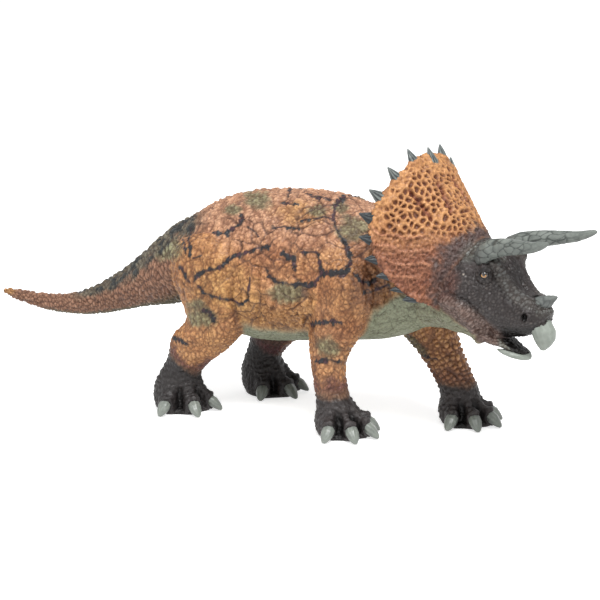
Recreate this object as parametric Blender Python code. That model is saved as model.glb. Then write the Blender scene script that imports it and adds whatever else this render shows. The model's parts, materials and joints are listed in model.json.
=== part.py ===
"""Toy horned dinosaur figure, about 29 cm long, standing on four flat soles.

Lengths are in metres, +X runs to the snout, +Y to the figure's left and +Z up. The figure is a body of
soft plastic pieces (torso, tail, four legs, skull, frill, lower jaw) that plug into each other, with
harder pieces set in them: horns, beak, eyes, nails and the spikes round the frill.
Every piece is a loft through rings, whose stations are shares of the driving sizes below.
"""

import bmesh
import bpy
from math import cos, hypot, pi, radians, sin
from mathutils import Matrix, Vector

# Driving sizes of the body
BODY_LENGTH = 0.120
BACK_HEIGHT = 0.098
BODY_WIDTH = 0.062
TAIL_LENGTH = 0.110

# Legs: girths at the thigh or shoulder, and how far out each leg stands
FORE_LEG_DEPTH = 0.028
FORE_LEG_WIDTH = 0.021
HIND_LEG_DEPTH = 0.038
HIND_LEG_WIDTH = 0.025
FORE_TRACK = 0.041
HIND_TRACK = 0.042
FORE_FOOT_LENGTH = 0.0235
HIND_FOOT_LENGTH = 0.0255

# Head: turn axis to snout, cheek width, brow to chin, and how far it is turned to its right
HEAD_LENGTH = 0.062
HEAD_WIDTH = 0.034
HEAD_DEPTH = 0.040
HEAD_TURN = -10.0

# Frill: width, height of the rim over the neck's middle, thickness
FRILL_WIDTH = 0.067
FRILL_HEIGHT = 0.0508
FRILL_THICKNESS = 0.0044

# Hard pieces
BROW_HORN_LENGTH = 0.0325
BROW_HORN_THICKNESS = 0.0088
NOSE_HORN_LENGTH = 0.012
NOSE_HORN_THICKNESS = 0.0110
UPPER_BEAK_HEIGHT = 0.0145
UPPER_BEAK_LENGTH = 0.0094
UPPER_BEAK_WIDTH = 0.0080
EYE_DIAMETER = 0.0038
NAIL_LENGTH = 0.0072
NAIL_WIDTH = 0.0058
NAIL_THICKNESS = 0.0050
SPIKE_LENGTH = 0.0064
SPIKE_WIDTH = 0.0060
SPIKE_THICKNESS = 0.0042

# Fits
CLEARANCE = 0.0003
OVERRUN = 0.002
PEG_LENGTH = 0.011
PEG_DIAMETER = 0.015
PEG_BEVEL_SHARE = 0.17

# Facets
BODY_SIDES = 24
TAIL_SIDES = 20
LEG_SIDES = 24
HEAD_SIDES = 20
JAW_SIDES = 12
HORN_SIDES = 10
NAIL_SIDES = 8
SPIKE_SIDES = 6
EYE_SIDES = 12
BODY_STEPS = 2
SHARP_ANGLE = 40.0

# Colours and roughness of the plastics
SKIN_COLOUR = (0.56, 0.27, 0.10)
SKIN_ROUGHNESS = 0.55
DARK_SKIN_COLOUR = (0.05, 0.045, 0.05)
DARK_SKIN_ROUGHNESS = 0.50
HORN_COLOUR = (0.27, 0.30, 0.26)
HORN_ROUGHNESS = 0.35
EYE_COLOUR = (0.45, 0.22, 0.03)
EYE_ROUGHNESS = 0.15

# Torso stations: place along the body, top, bottom, half-width, height of the widest line
TORSO_SHARES = [
    (-0.500, 0.835, 0.450, 0.58, 0.50),
    (-0.417, 0.902, 0.405, 0.76, 0.47),
    (-0.317, 0.957, 0.358, 0.90, 0.44),
    (-0.183, 0.992, 0.322, 0.99, 0.42),
    (-0.042, 1.002, 0.335, 1.00, 0.42),
    (0.100, 0.998, 0.357, 0.97, 0.43),
    (0.217, 0.966, 0.375, 0.90, 0.44),
    (0.317, 0.915, 0.393, 0.79, 0.45),
    (0.400, 0.868, 0.428, 0.65, 0.47),
    (0.455, 0.842, 0.462, 0.54, 0.50),
]
NECK_SHARES = (0.836, 0.465, 0.49, 0.50)
NECK_JOINT_SHARE = 0.097
HEAD_AXIS_SHARE = 0.433
NECK_HEIGHT_SHARE = 0.673

# Tail stations: place along the tail, top and bottom over the ground, half-width
TAIL_SHARES = [
    (0.09, 0.775, 0.420, 0.500, 0.50),
    (0.21, 0.664, 0.397, 0.375, 0.50),
    (0.32, 0.571, 0.366, 0.285, 0.50),
    (0.445, 0.484, 0.331, 0.215, 0.50),
    (0.58, 0.418, 0.310, 0.155, 0.50),
    (0.736, 0.389, 0.309, 0.115, 0.50),
    (0.87, 0.391, 0.329, 0.085, 0.50),
    (0.955, 0.392, 0.349, 0.060, 0.50),
    (1.000, 0.387, 0.371, 0.020, 0.50),
]

# Leg stations: height, half-depth and half-width; the first four are the foot, in foot lengths
FORE_LEG_SHARES = [
    (0.000, 0.42, 0.40), (0.013, 0.46, 0.43), (0.061, 0.48, 0.44), (0.118, 0.36, 0.345),
    (0.173, 0.245, 0.315), (0.245, 0.25, 0.315), (0.306, 0.268, 0.335), (0.357, 0.307, 0.365),
    (0.408, 0.375, 0.41), (0.490, 0.435, 0.46), (0.582, 0.485, 0.50), (0.673, 0.50, 0.50),
    (0.735, 0.36, 0.38), (0.765, 0.14, 0.15),
]
HIND_LEG_SHARES = [
    (0.000, 0.42, 0.39), (0.013, 0.46, 0.42), (0.061, 0.49, 0.43), (0.118, 0.43, 0.37),
    (0.173, 0.210, 0.32), (0.235, 0.208, 0.32), (0.296, 0.295, 0.38), (0.347, 0.315, 0.42),
    (0.418, 0.325, 0.44), (0.480, 0.395, 0.48), (0.592, 0.500, 0.52), (0.714, 0.485, 0.50),
    (0.776, 0.340, 0.36), (0.806, 0.130, 0.16),
]
FOOT_STATIONS = 4

# Poses: where each leg's stations stand along the body, from the sole up
FORE_RIGHT_STANCE_SHARES = [
    0.220, 0.218, 0.212, 0.198, 0.179, 0.168, 0.164, 0.169, 0.183, 0.204, 0.232, 0.237, 0.237, 0.237,
]
FORE_LEFT_STANCE_SHARES = [
    0.528, 0.526, 0.520, 0.508, 0.492, 0.457, 0.423, 0.394, 0.367, 0.330, 0.300, 0.283, 0.276, 0.276,
]
HIND_RIGHT_STANCE_SHARES = [
    -0.440, -0.442, -0.448, -0.455, -0.446, -0.404, -0.365, -0.337, -0.285, -0.280, -0.303, -0.316,
    -0.316, -0.316,
]
HIND_LEFT_STANCE_SHARES = [
    -0.278, -0.280, -0.288, -0.303, -0.310, -0.279, -0.242, -0.217, -0.208, -0.225, -0.267, -0.300,
    -0.308, -0.308,
]
LEFT_FORE_GIRTH_SHARE = 1.18
PLAIN_GIRTH_SHARE = 1.0

# Toes: directions round the foot in degrees, swelling of the toe, its angular reach, nail height and lean
FORE_TOES = (-88.0, -44.0, 0.0, 44.0, 88.0)
HIND_TOES = (-80.0, -26.0, 26.0, 80.0)
TOE_SWELL_SHARES = (0.16, 0.20, 0.20, 0.08)
TOE_REACH = 17.0
FORE_FOOT_TURN = -2.0
HIND_FOOT_TURN = 8.0
NAIL_HEIGHT_SHARE = 0.85
NAIL_DROOP = 40.0
NAIL_SEAT_SHARE = 0.16
NAIL_SHARES = [
    (-0.25, 0.62, 0.58), (0.00, 0.94, 0.92), (0.26, 1.00, 1.00), (0.56, 0.84, 0.76),
    (0.80, 0.56, 0.46), (0.94, 0.26, 0.20),
]

# Skull stations: place from the turn axis, top and bottom from the neck's middle, half-width, widest line
HEAD_SHARES = [
    (0.226, 0.44, -0.49, 0.84, 0.47),
    (0.340, 0.48, -0.51, 0.98, 0.42),
    (0.452, 0.48, -0.495, 1.00, 0.39),
    (0.548, 0.46, -0.475, 0.84, 0.42),
    (0.629, 0.41, -0.475, 0.70, 0.45),
    (0.694, 0.29, -0.465, 0.60, 0.45),
    (0.758, 0.13, -0.450, 0.53, 0.45),
    (0.823, 0.02, -0.430, 0.47, 0.48),
    (0.880, -0.03, -0.405, 0.41, 0.50),
    (0.937, -0.07, -0.370, 0.33, 0.50),
    (0.970, -0.14, -0.310, 0.20, 0.50),
]
JAW_SHARES = [
    (0.420, -0.410, -0.525, 0.42, 0.5),
    (0.500, -0.410, -0.528, 0.50, 0.5),
    (0.565, -0.425, -0.548, 0.49, 0.5),
    (0.621, -0.450, -0.583, 0.45, 0.5),
    (0.677, -0.490, -0.605, 0.39, 0.5),
    (0.742, -0.538, -0.622, 0.31, 0.5),
    (0.790, -0.580, -0.628, 0.22, 0.5),
    (0.815, -0.600, -0.625, 0.12, 0.5),
]
LOWER_BEAK_SHARES = [
    (0.655, -0.560, -0.610, 0.36, 0.5),
    (0.700, -0.560, -0.640, 0.42, 0.5),
    (0.755, -0.575, -0.668, 0.38, 0.5),
    (0.800, -0.600, -0.680, 0.28, 0.5),
    (0.830, -0.625, -0.680, 0.15, 0.5),
    (0.845, -0.645, -0.668, 0.05, 0.5),
]

# Horns and beak: places on the head, then stations along each piece
BROW_HORN_SHARES = [
    (-0.16, -0.10, -0.22, 0.78), (0.00, 0.00, 0.00, 0.96), (0.24, 0.060, 0.088, 0.84),
    (0.50, 0.135, 0.130, 0.69), (0.76, 0.205, 0.165, 0.50), (0.93, 0.245, 0.218, 0.32),
    (1.00, 0.262, 0.245, 0.14),
]
BROW_HORN_ROOT_SHARES = (0.595, 0.56, 0.385)
NOSE_HORN_SHARES = [
    (-0.16, -0.20, 0.40, 0.28), (0.00, -0.06, 0.47, 0.36), (0.27, 0.07, 0.38, 0.28),
    (0.52, 0.20, 0.27, 0.19), (0.72, 0.29, 0.15, 0.11), (0.82, 0.33, 0.05, 0.04),
]
NOSE_HORN_ROOT_SHARES = (0.866, -0.105)
UPPER_BEAK_SHARES = [
    (-0.10, -0.06, 0.30, 0.34), (-0.20, -0.06, 0.40, 0.46), (-0.42, 0.08, 0.48, 0.50),
    (-0.62, 0.15, 0.43, 0.40), (-0.82, 0.15, 0.29, 0.25), (-0.97, 0.10, 0.10, 0.09),
]
UPPER_BEAK_ROOT_SHARES = (0.918, -0.205)
EYE_SHARES = (0.600, 0.165)
EYE_SINK_SHARE = 0.24

# Frill: rim and root from the top to the cheek: place along the head, across, over the neck's middle
RIM_SHARES = [
    (0.005, 0.000, 0.990), (0.024, 0.300, 0.957), (0.000, 0.575, 0.835), (-0.038, 0.797, 0.689),
    (-0.055, 0.925, 0.532), (-0.039, 0.970, 0.374), (-0.003, 0.940, 0.220), (0.052, 0.860, 0.094),
    (0.118, 0.752, -0.010), (0.183, 0.670, -0.085),
]
ROOT_SHARES = [
    (0.484, 0.000, 0.297), (0.476, 0.150, 0.277), (0.460, 0.242, 0.240), (0.443, 0.300, 0.180),
    (0.420, 0.340, 0.115), (0.395, 0.360, 0.050), (0.375, 0.370, -0.015), (0.360, 0.365, -0.080),
    (0.350, 0.350, -0.150), (0.340, 0.330, -0.220),
]
FRILL_SECTION_SHARES = [(0.0, 0.46), (0.40, 0.50), (0.78, 0.44), (0.95, 0.30)]
FRILL_BULGE_SHARE = -0.20
FRILL_STEPS = 2
SPIKE_SHARES = [
    (-0.30, 0.92, 0.92), (0.00, 1.00, 1.00), (0.32, 0.76, 0.80), (0.66, 0.44, 0.46), (0.96, 0.10, 0.10),
]
SPIKE_LIFT_SHARE = 0.70
RIM_MIDDLE_SHARE = 0.43
SPIKE_SEAT_SHARE = 0.14
SPIKE_SIZE_SHARES = (1.05, 0.88, 0.96, 1.00, 0.98, 0.90, 0.88, 0.84, 0.80, 0.84)
MIDDLE_SPIKE_DROP_SHARE = 1.3


def clear_scene():
    for item in list(bpy.data.objects):
        bpy.data.objects.remove(item, do_unlink=True)


def material(name, colour, roughness):
    """Plain plastic of one colour."""
    made = bpy.data.materials.new(name)
    made.use_nodes = True
    shader = made.node_tree.nodes["Principled BSDF"]
    shader.inputs["Base Color"].default_value = (*colour, 1.0)
    shader.inputs["Roughness"].default_value = roughness
    shader.inputs["Metallic"].default_value = 0.0
    return made


def empty(name, parent=None, place=(0, 0, 0), turn=0.0):
    frame = bpy.data.objects.new(name, None)
    bpy.context.collection.objects.link(frame)
    frame.parent = parent
    frame.location = place
    frame.rotation_euler = (0, 0, radians(turn))
    return frame


def smooth_rows(rows, steps):
    """Rows of numbers with steps - 1 more rows between each two, on a curve through all of them."""
    result = []
    for i in range(len(rows) - 1):
        before = rows[max(i - 1, 0)]
        start = rows[i]
        end = rows[i + 1]
        after = rows[min(i + 2, len(rows) - 1)]
        for step in range(steps):
            t = step / steps
            row = []
            for a, b, c, d in zip(before, start, end, after):
                curve = (2 * a - 5 * b + 4 * c - d) * t * t + (3 * b - 3 * c + d - a) * t * t * t
                row.append(b + ((c - a) * t + curve) / 2)
            result.append(tuple(row))
    result.append(tuple(rows[-1]))
    return result


def egg_ring(place, top, bottom, half_width, widest, sides):
    """Upright ring across X, widest at the given share of its height, a little squarer than an ellipse."""
    middle = bottom + (top - bottom) * widest
    ring = []
    for i in range(sides):
        angle = 2 * pi * i / sides
        reach = (top - middle) if sin(angle) > 0 else (middle - bottom)
        ring.append(Vector((place, half_width * cos(angle), middle + reach * sin(angle))))
    return ring


def loft(name, rings):
    """Closed mesh through the rings, capped at both ends, faces outward."""
    shape = bmesh.new()
    rows = [[shape.verts.new(point) for point in ring] for ring in rings]
    for low, high in zip(rows, rows[1:]):
        for i in range(len(low)):
            j = (i + 1) % len(low)
            shape.faces.new((low[i], low[j], high[j], high[i]))
    shape.faces.new(rows[0])
    shape.faces.new(rows[-1])
    bmesh.ops.recalc_face_normals(shape, faces=shape.faces)
    mesh = bpy.data.meshes.new(name)
    shape.to_mesh(mesh)
    shape.free()
    return mesh


def add_piece(name, mesh, parent, skin):
    """A sub-part of the figure: smooth where it is round, crisp at real edges."""
    mesh.shade_smooth()
    mesh.set_sharp_from_angle(angle=radians(SHARP_ANGLE))
    mesh.materials.append(skin)
    piece = bpy.data.objects.new(name, mesh)
    bpy.context.collection.objects.link(piece)
    piece.parent = parent
    return piece


def grown(mesh, gap):
    """Copy of a mesh with its surface moved out by the gap."""
    copy = mesh.copy()
    shape = bmesh.new()
    shape.from_mesh(copy)
    shape.normal_update()
    moves = [vertex.normal * vertex.calc_shell_factor() * gap for vertex in shape.verts]
    for vertex, move in zip(shape.verts, moves):
        vertex.co += move
    shape.to_mesh(copy)
    shape.free()
    return copy


def cutter(name, mesh, parent):
    tool = bpy.data.objects.new(name, mesh)
    bpy.context.collection.objects.link(tool)
    tool.parent = parent
    tool.hide_render = True
    tool.display_type = "WIRE"
    return tool


def cut(piece, tool):
    step = piece.modifiers.new(tool.name, "BOOLEAN")
    step.operation = "DIFFERENCE"
    step.solver = "EXACT"
    step.object = tool


def seat(piece, guest):
    """Recess in the piece that the guest sits in, with the clearance all round."""
    tool = cutter(f"{guest.name}_seat_in_{piece.name}", grown(guest.data, CLEARANCE), guest.parent)
    cut(piece, tool)


def torso_ring(row, sides):
    x, top, bottom, half_width, widest = row
    half = half_width * BODY_WIDTH / 2
    return egg_ring(x * BODY_LENGTH, top * BACK_HEIGHT, bottom * BACK_HEIGHT, half, widest, sides)


def neck_ring(distance, scale, sides):
    """Ring of the neck, square to the turned head's axis; scale 1 is the skin, less is the peg."""
    top, bottom, half_width, widest = NECK_SHARES
    height = NECK_HEIGHT_SHARE * BACK_HEIGHT
    ring = egg_ring(
        distance,
        (top * BACK_HEIGHT - height) * scale,
        (bottom * BACK_HEIGHT - height) * scale,
        half_width * BODY_WIDTH / 2 * scale,
        widest,
        sides,
    )
    return ring


def head_frame_matrix():
    place = Vector((HEAD_AXIS_SHARE * BODY_LENGTH, 0, NECK_HEIGHT_SHARE * BACK_HEIGHT))
    return Matrix.Translation(place) @ Matrix.Rotation(radians(HEAD_TURN), 4, "Z")


def neck_joint():
    return NECK_JOINT_SHARE * HEAD_LENGTH


def peg_rings(joint, away, height, grow, start, sides):
    """Round peg along X, from start before the joint to its rounded end past it."""
    radius = PEG_DIAMETER / 2 + grow
    bevel = PEG_DIAMETER * PEG_BEVEL_SHARE
    end = PEG_LENGTH + grow
    rings = []
    for distance, size in ((start, radius), (end - bevel, radius), (end, radius - bevel)):
        rings.append(egg_ring(joint + away * distance, height + size, height - size, size, 0.5, sides))
    return rings


def make_torso(root, skin):
    """Barrel body from the rump joint to the neck joint, where its last ring is turned with the head."""
    rings = [torso_ring(row, BODY_SIDES) for row in smooth_rows(TORSO_SHARES, BODY_STEPS)]
    to_body = head_frame_matrix()
    rings.append([to_body @ point for point in neck_ring(neck_joint(), 1, BODY_SIDES)])
    return add_piece("torso", loft("torso", rings), root, skin)


def rump_height():
    """Middle of the rump joint over the ground."""
    _, top, bottom, _, _ = TORSO_SHARES[0]
    return (top + bottom) / 2 * BACK_HEIGHT


def make_tail(root, skin):
    """Tapering tail whose first ring repeats the rump's, with a peg that goes into the torso."""
    joint = TORSO_SHARES[0][0] * BODY_LENGTH - CLEARANCE
    peg = peg_rings(joint, 1, rump_height(), 0, 0, TAIL_SIDES)
    peg.reverse()
    rump = torso_ring(TORSO_SHARES[0], TAIL_SIDES)
    skin_rings = [[point - Vector((CLEARANCE, 0, 0)) for point in rump]]
    first = (0.0, *TORSO_SHARES[0][1:])
    for row in smooth_rows([first, *TAIL_SHARES], BODY_STEPS)[1:]:
        x, top, bottom, half_width, widest = row
        half = half_width * BODY_WIDTH / 2
        ring = egg_ring(
            joint - x * TAIL_LENGTH, top * BACK_HEIGHT, bottom * BACK_HEIGHT, half, widest, TAIL_SIDES
        )
        skin_rings.append(ring)
    return add_piece("tail", loft("tail", peg + skin_rings), root, skin)


def toe_swell(angle, toes, swell):
    """How much a foot ring grows toward its toes."""
    most = 0.0
    for toe in toes:
        apart = abs((angle - radians(toe) + pi) % (2 * pi) - pi)
        most = max(most, cos(min(apart / radians(TOE_REACH), 1) * pi / 2) ** 2)
    return 1 + swell * most


class Leg:
    """One leg: a loft of level rings from its flat sole to a rounded root inside the body."""

    def __init__(self, name, side, shares, stance, girth, depth, width, track, foot_length, toes, turn):
        self.name = name
        self.side = side
        self.shares = shares
        self.stance = stance
        self.depth = depth
        self.width = width
        self.track = track
        self.foot_length = foot_length
        self.girth = girth
        self.toes = [side * turn + toe for toe in toes]

    def station(self, i):
        """Place, height, half-depth and half-width of a ring, longer where the leg leans."""
        height, depth, width = self.shares[i]
        x = self.stance[i] * BODY_LENGTH
        z = height * BACK_HEIGHT
        if i < FOOT_STATIONS:
            return x, z, depth * self.foot_length, width * self.foot_length
        below = max(i - 1, 0)
        above = min(i + 1, len(self.shares) - 1)
        run = (self.stance[above] - self.stance[below]) * BODY_LENGTH
        rise = (self.shares[above][0] - self.shares[below][0]) * BACK_HEIGHT
        lean = hypot(run, rise) / rise
        girth = self.girth if i < len(self.shares) - FOOT_STATIONS else PLAIN_GIRTH_SHARE
        return x, z, depth * self.depth * lean * girth, width * self.width * girth

    def ring(self, x, z, half_depth, half_width, swell):
        y = self.side * self.track / 2
        ring = []
        for i in range(LEG_SIDES):
            angle = 2 * pi * i / LEG_SIDES
            grow = toe_swell(angle, self.toes, swell)
            ring.append(Vector((x + half_depth * grow * cos(angle), y + half_width * grow * sin(angle), z)))
        return ring

    def mesh(self):
        rings = []
        for i in range(len(self.shares)):
            swell = TOE_SWELL_SHARES[i] if i < FOOT_STATIONS else 0.0
            rings.append(self.ring(*self.station(i), swell))
        return loft(self.name, rings)

    def toe_tip(self, toe):
        """Point on the foot's skin where a nail sits, and its direction."""
        x, z, half_depth, half_width = self.station(FOOT_STATIONS - 2)
        angle = radians(toe)
        grow = toe_swell(angle, self.toes, TOE_SWELL_SHARES[-2])
        x += half_depth * grow * cos(angle)
        y = self.side * self.track / 2 + half_width * grow * sin(angle)
        return Vector((x, y, z * NAIL_HEIGHT_SHARE)), angle


def make_legs():
    fore = (FORE_LEG_DEPTH, FORE_LEG_WIDTH, FORE_TRACK, FORE_FOOT_LENGTH, FORE_TOES, FORE_FOOT_TURN)
    hind = (HIND_LEG_DEPTH, HIND_LEG_WIDTH, HIND_TRACK, HIND_FOOT_LENGTH, HIND_TOES, HIND_FOOT_TURN)
    plain = PLAIN_GIRTH_SHARE
    braced = LEFT_FORE_GIRTH_SHARE
    return [
        Leg("fore_leg_right", -1, FORE_LEG_SHARES, FORE_RIGHT_STANCE_SHARES, plain, *fore),
        Leg("fore_leg_left", 1, FORE_LEG_SHARES, FORE_LEFT_STANCE_SHARES, braced, *fore),
        Leg("hind_leg_right", -1, HIND_LEG_SHARES, HIND_RIGHT_STANCE_SHARES, plain, *hind),
        Leg("hind_leg_left", 1, HIND_LEG_SHARES, HIND_LEFT_STANCE_SHARES, plain, *hind),
    ]


def along_rings(stations, length, width, thickness, matrix, sides):
    """Rings along local +X: each station is place, half-width share and half-thickness share."""
    rings = []
    for place, wide, thick in stations:
        top = thick * thickness / 2
        ring = egg_ring(place * length, top, -top, wide * width / 2, 0.5, sides)
        rings.append([matrix @ point for point in ring])
    return rings


def nail_mesh(name, tip, angle):
    """Blunt hoof nail that leans down and out from a toe, with its root inside the toe."""
    turn = Matrix.Rotation(angle, 4, "Z") @ Matrix.Rotation(radians(NAIL_DROOP), 4, "Y")
    rings = along_rings(
        NAIL_SHARES, NAIL_LENGTH, NAIL_WIDTH, NAIL_THICKNESS, Matrix.Translation(tip) @ turn, NAIL_SIDES
    )
    return loft(name, rings)


def make_nails(leg, foot, root, horn_skin):
    for number, toe in enumerate(leg.toes, 1):
        tip, angle = leg.toe_tip(toe)
        inward = Vector((cos(angle), sin(angle), 0)) * NAIL_LENGTH * NAIL_SEAT_SHARE
        name = leg.name.replace("leg", "nail") + f"_{number}"
        nail = add_piece(name, nail_mesh(name, tip - inward, angle), root, horn_skin)
        seat(foot, nail)


def head_ring(row, sides):
    x, top, bottom, half_width, widest = row
    half = half_width * HEAD_WIDTH / 2
    return egg_ring(x * HEAD_LENGTH, top * HEAD_DEPTH, bottom * HEAD_DEPTH, half, widest, sides)


def make_skull(head_frame, skin):
    """Skull from the neck joint to the snout, with a peg that goes back into the torso's neck."""
    joint = neck_joint() + CLEARANCE
    peg = peg_rings(joint, -1, 0, 0, 0, HEAD_SIDES)
    peg.reverse()
    neck = neck_ring(joint, 1, HEAD_SIDES)
    top, bottom, half_width, widest = NECK_SHARES
    height = NECK_HEIGHT_SHARE * BACK_HEIGHT
    first = (
        joint / HEAD_LENGTH,
        (top * BACK_HEIGHT - height) / HEAD_DEPTH,
        (bottom * BACK_HEIGHT - height) / HEAD_DEPTH,
        half_width * BODY_WIDTH / HEAD_WIDTH,
        widest,
    )
    rows = smooth_rows([first, *HEAD_SHARES], BODY_STEPS)[1:]
    rings = peg + [neck] + [head_ring(row, HEAD_SIDES) for row in rows]
    return add_piece("head", loft("head", rings), head_frame, skin)


def skull_half_width(place, height):
    """Half-width of the skull at a place along it and a height, both as shares."""
    for low, high in zip(HEAD_SHARES, HEAD_SHARES[1:]):
        if low[0] <= place <= high[0]:
            t = (place - low[0]) / (high[0] - low[0])
            _, top, bottom, half_width, widest = (a + (b - a) * t for a, b in zip(low, high))
    middle = bottom + (top - bottom) * widest
    reach = (top - middle) if height > middle else (middle - bottom)
    return half_width * HEAD_WIDTH / 2 * (1 - ((height - middle) / reach) ** 2) ** 0.5


def make_eye(name, side, head_frame, glass):
    """Ball that shows its outer cap in the side of the skull."""
    place, height = EYE_SHARES
    radius = EYE_DIAMETER / 2
    out = skull_half_width(place, height) - radius * EYE_SINK_SHARE
    ball = bmesh.new()
    centre = Vector((place * HEAD_LENGTH, side * out, height * HEAD_DEPTH))
    bmesh.ops.create_uvsphere(ball, u_segments=EYE_SIDES, v_segments=EYE_SIDES // 2, radius=radius)
    bmesh.ops.translate(ball, verts=ball.verts, vec=centre)
    mesh = bpy.data.meshes.new(name)
    ball.to_mesh(mesh)
    ball.free()
    return add_piece(name, mesh, head_frame, glass)


def tube_rings(points, radii, sides):
    """Round rings square to a bent line through the points."""
    rings = []
    for i, point in enumerate(points):
        before = points[max(i - 1, 0)]
        after = points[min(i + 1, len(points) - 1)]
        turn = (after - before).to_track_quat("X", "Z").to_matrix().to_4x4()
        matrix = Matrix.Translation(point) @ turn
        ring = egg_ring(0, radii[i], -radii[i], radii[i], 0.5, sides)
        rings.append([matrix @ corner for corner in ring])
    return rings


def make_brow_horn(name, side, head_frame, horn_skin):
    """Long horn over the eye: rises from the brow, then runs forward and out."""
    place, across, height = BROW_HORN_ROOT_SHARES
    root = Vector((place * HEAD_LENGTH, side * across * HEAD_WIDTH / 2, height * HEAD_DEPTH))
    points = []
    radii = []
    for forward, out, up, size in smooth_rows(BROW_HORN_SHARES, BODY_STEPS):
        points.append(root + Vector((forward, side * out, up)) * BROW_HORN_LENGTH)
        radii.append(size * BROW_HORN_THICKNESS / 2)
    return add_piece(name, loft(name, tube_rings(points, radii, HORN_SIDES)), head_frame, horn_skin)


def corner_angles(sides):
    """Directions of a ring's corners, half a step round, so that none lies on the head's middle line."""
    return [2 * pi * (i + 0.5) / sides for i in range(sides)]


def make_nose_horn(head_frame, horn_skin):
    """Short wedge of a horn that points forward from the snout."""
    place, height = NOSE_HORN_ROOT_SHARES
    rings = []
    for forward, up, half_depth, half_width in NOSE_HORN_SHARES:
        x = place * HEAD_LENGTH + forward * NOSE_HORN_LENGTH
        z = height * HEAD_DEPTH + up * NOSE_HORN_LENGTH
        ring = []
        for angle in corner_angles(HORN_SIDES):
            lean = half_depth * NOSE_HORN_THICKNESS * cos(angle)
            wide = half_width * NOSE_HORN_THICKNESS * sin(angle)
            ring.append(Vector((x + lean / 2, wide, z - lean / 2)))
        rings.append(ring)
    return add_piece("nose_horn", loft("nose_horn", rings), head_frame, horn_skin)


def make_upper_beak(head_frame, horn_skin):
    """Hooked beak tip below the snout."""
    place, height = UPPER_BEAK_ROOT_SHARES
    rings = []
    for down, forward, half_length, half_width in UPPER_BEAK_SHARES:
        x = place * HEAD_LENGTH + forward * UPPER_BEAK_LENGTH
        z = height * HEAD_DEPTH + down * UPPER_BEAK_HEIGHT
        ring = []
        for angle in corner_angles(HORN_SIDES):
            ring.append(Vector((
                x + half_length * UPPER_BEAK_LENGTH * cos(angle),
                half_width * UPPER_BEAK_WIDTH * sin(angle),
                z,
            )))
        rings.append(ring)
    return add_piece("upper_beak", loft("upper_beak", rings), head_frame, horn_skin)


def frill_points(table):
    """Points of the rim or the root on a smooth curve, from one cheek over the top to the other."""
    half = []
    for along, across, up in table:
        half.append((along * HEAD_LENGTH, across * FRILL_WIDTH / 2, up * FRILL_HEIGHT))
    right = [(x, -y, z) for x, y, z in half[:0:-1]]
    return [Vector(row) for row in smooth_rows(right + half, FRILL_STEPS)]


def frill_line():
    """Rim, root and forward normal of each section of the frill."""
    rim = frill_points(RIM_SHARES)
    root = frill_points(ROOT_SHARES)
    sections = []
    for i, (outer, inner) in enumerate(zip(rim, root)):
        before = max(i - 1, 0)
        after = min(i + 1, len(rim) - 1)
        along = rim[after] - rim[before] + root[after] - root[before]
        sections.append((outer, inner, along.cross(outer - inner).normalized()))
    return sections


def make_frill(head_frame, skin):
    """Dished shield swept from cheek to cheek, each section from its root in the skull to a thin rim."""
    rings = []
    for outer, inner, normal in frill_line():
        front = []
        back = []
        for place, thick in FRILL_SECTION_SHARES:
            bulge = FRILL_BULGE_SHARE * sin(pi * place)
            middle = inner.lerp(outer, place) + normal * FRILL_THICKNESS * bulge
            front.append(middle + normal * FRILL_THICKNESS * thick)
            back.append(middle - normal * FRILL_THICKNESS * thick)
        back.reverse()
        rings.append(front + [outer] + back)
    return add_piece("frill", loft("frill", rings), head_frame, skin)


def rim_seats():
    """Place, outward direction and direction along the rim of each spike, from the top to the cheek."""
    sections = frill_line()
    middle = len(sections) // 2
    rim_middle = RIM_MIDDLE_SHARE * FRILL_HEIGHT
    seats = []
    for number in range(len(RIM_SHARES)):
        i = middle + number * FRILL_STEPS
        outer, inner, normal = sections[i]
        run = (outer - inner).normalized()
        along = sections[min(i + 1, len(sections) - 1)][0] - sections[i - 1][0]
        out = run + Vector((0, outer.y, outer.z - rim_middle)).normalized() * SPIKE_LIFT_SHARE
        if number == 0:
            outer = outer + (normal - out * MIDDLE_SPIKE_DROP_SHARE) * FRILL_THICKNESS / 2
        seats.append((outer, out.normalized(), along.normalized()))
    return seats


def spike_mesh(name, point, out, run, size):
    """Flattened cone that straddles the rim."""
    thin = out.cross(run).normalized()
    along = thin.cross(out).normalized()
    length = size * SPIKE_LENGTH
    place = point - out * SPIKE_SEAT_SHARE * length
    matrix = Matrix((out, along, thin)).transposed().to_4x4()
    matrix.translation = place
    width = size * SPIKE_WIDTH
    thickness = size * SPIKE_THICKNESS
    return loft(name, along_rings(SPIKE_SHARES, length, width, thickness, matrix, SPIKE_SIDES))


def make_spikes(frill, head_frame, horn_skin):
    rim_cutter = cutter("frill_rim_seat", grown(frill.data, CLEARANCE), head_frame)
    for number, (point, out, run) in enumerate(rim_seats()):
        sides = (("right", -1), ("left", 1)) if number else (("middle", 1),)
        for label, side in sides:
            name = f"frill_spike_{label}_{number}" if number else "frill_spike_middle"
            flip = Vector((1, side, 1))
            mesh = spike_mesh(name, point * flip, out * flip, run * flip, SPIKE_SIZE_SHARES[number])
            spike = add_piece(name, mesh, head_frame, horn_skin)
            cut(spike, rim_cutter)


def centre_on_box(root):
    """Moves the figure so that its box is centred over the origin and stands on the ground."""
    bpy.context.view_layer.update()
    shown = [item for item in bpy.data.objects if item.type == "MESH" and not item.hide_render]
    corners = [item.matrix_world @ vertex.co for item in shown for vertex in item.data.vertices]
    low = Vector(min(corner[axis] for corner in corners) for axis in range(3))
    high = Vector(max(corner[axis] for corner in corners) for axis in range(3))
    middle = (low + high) / 2
    root.location = (-middle.x, -middle.y, 0)


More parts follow.
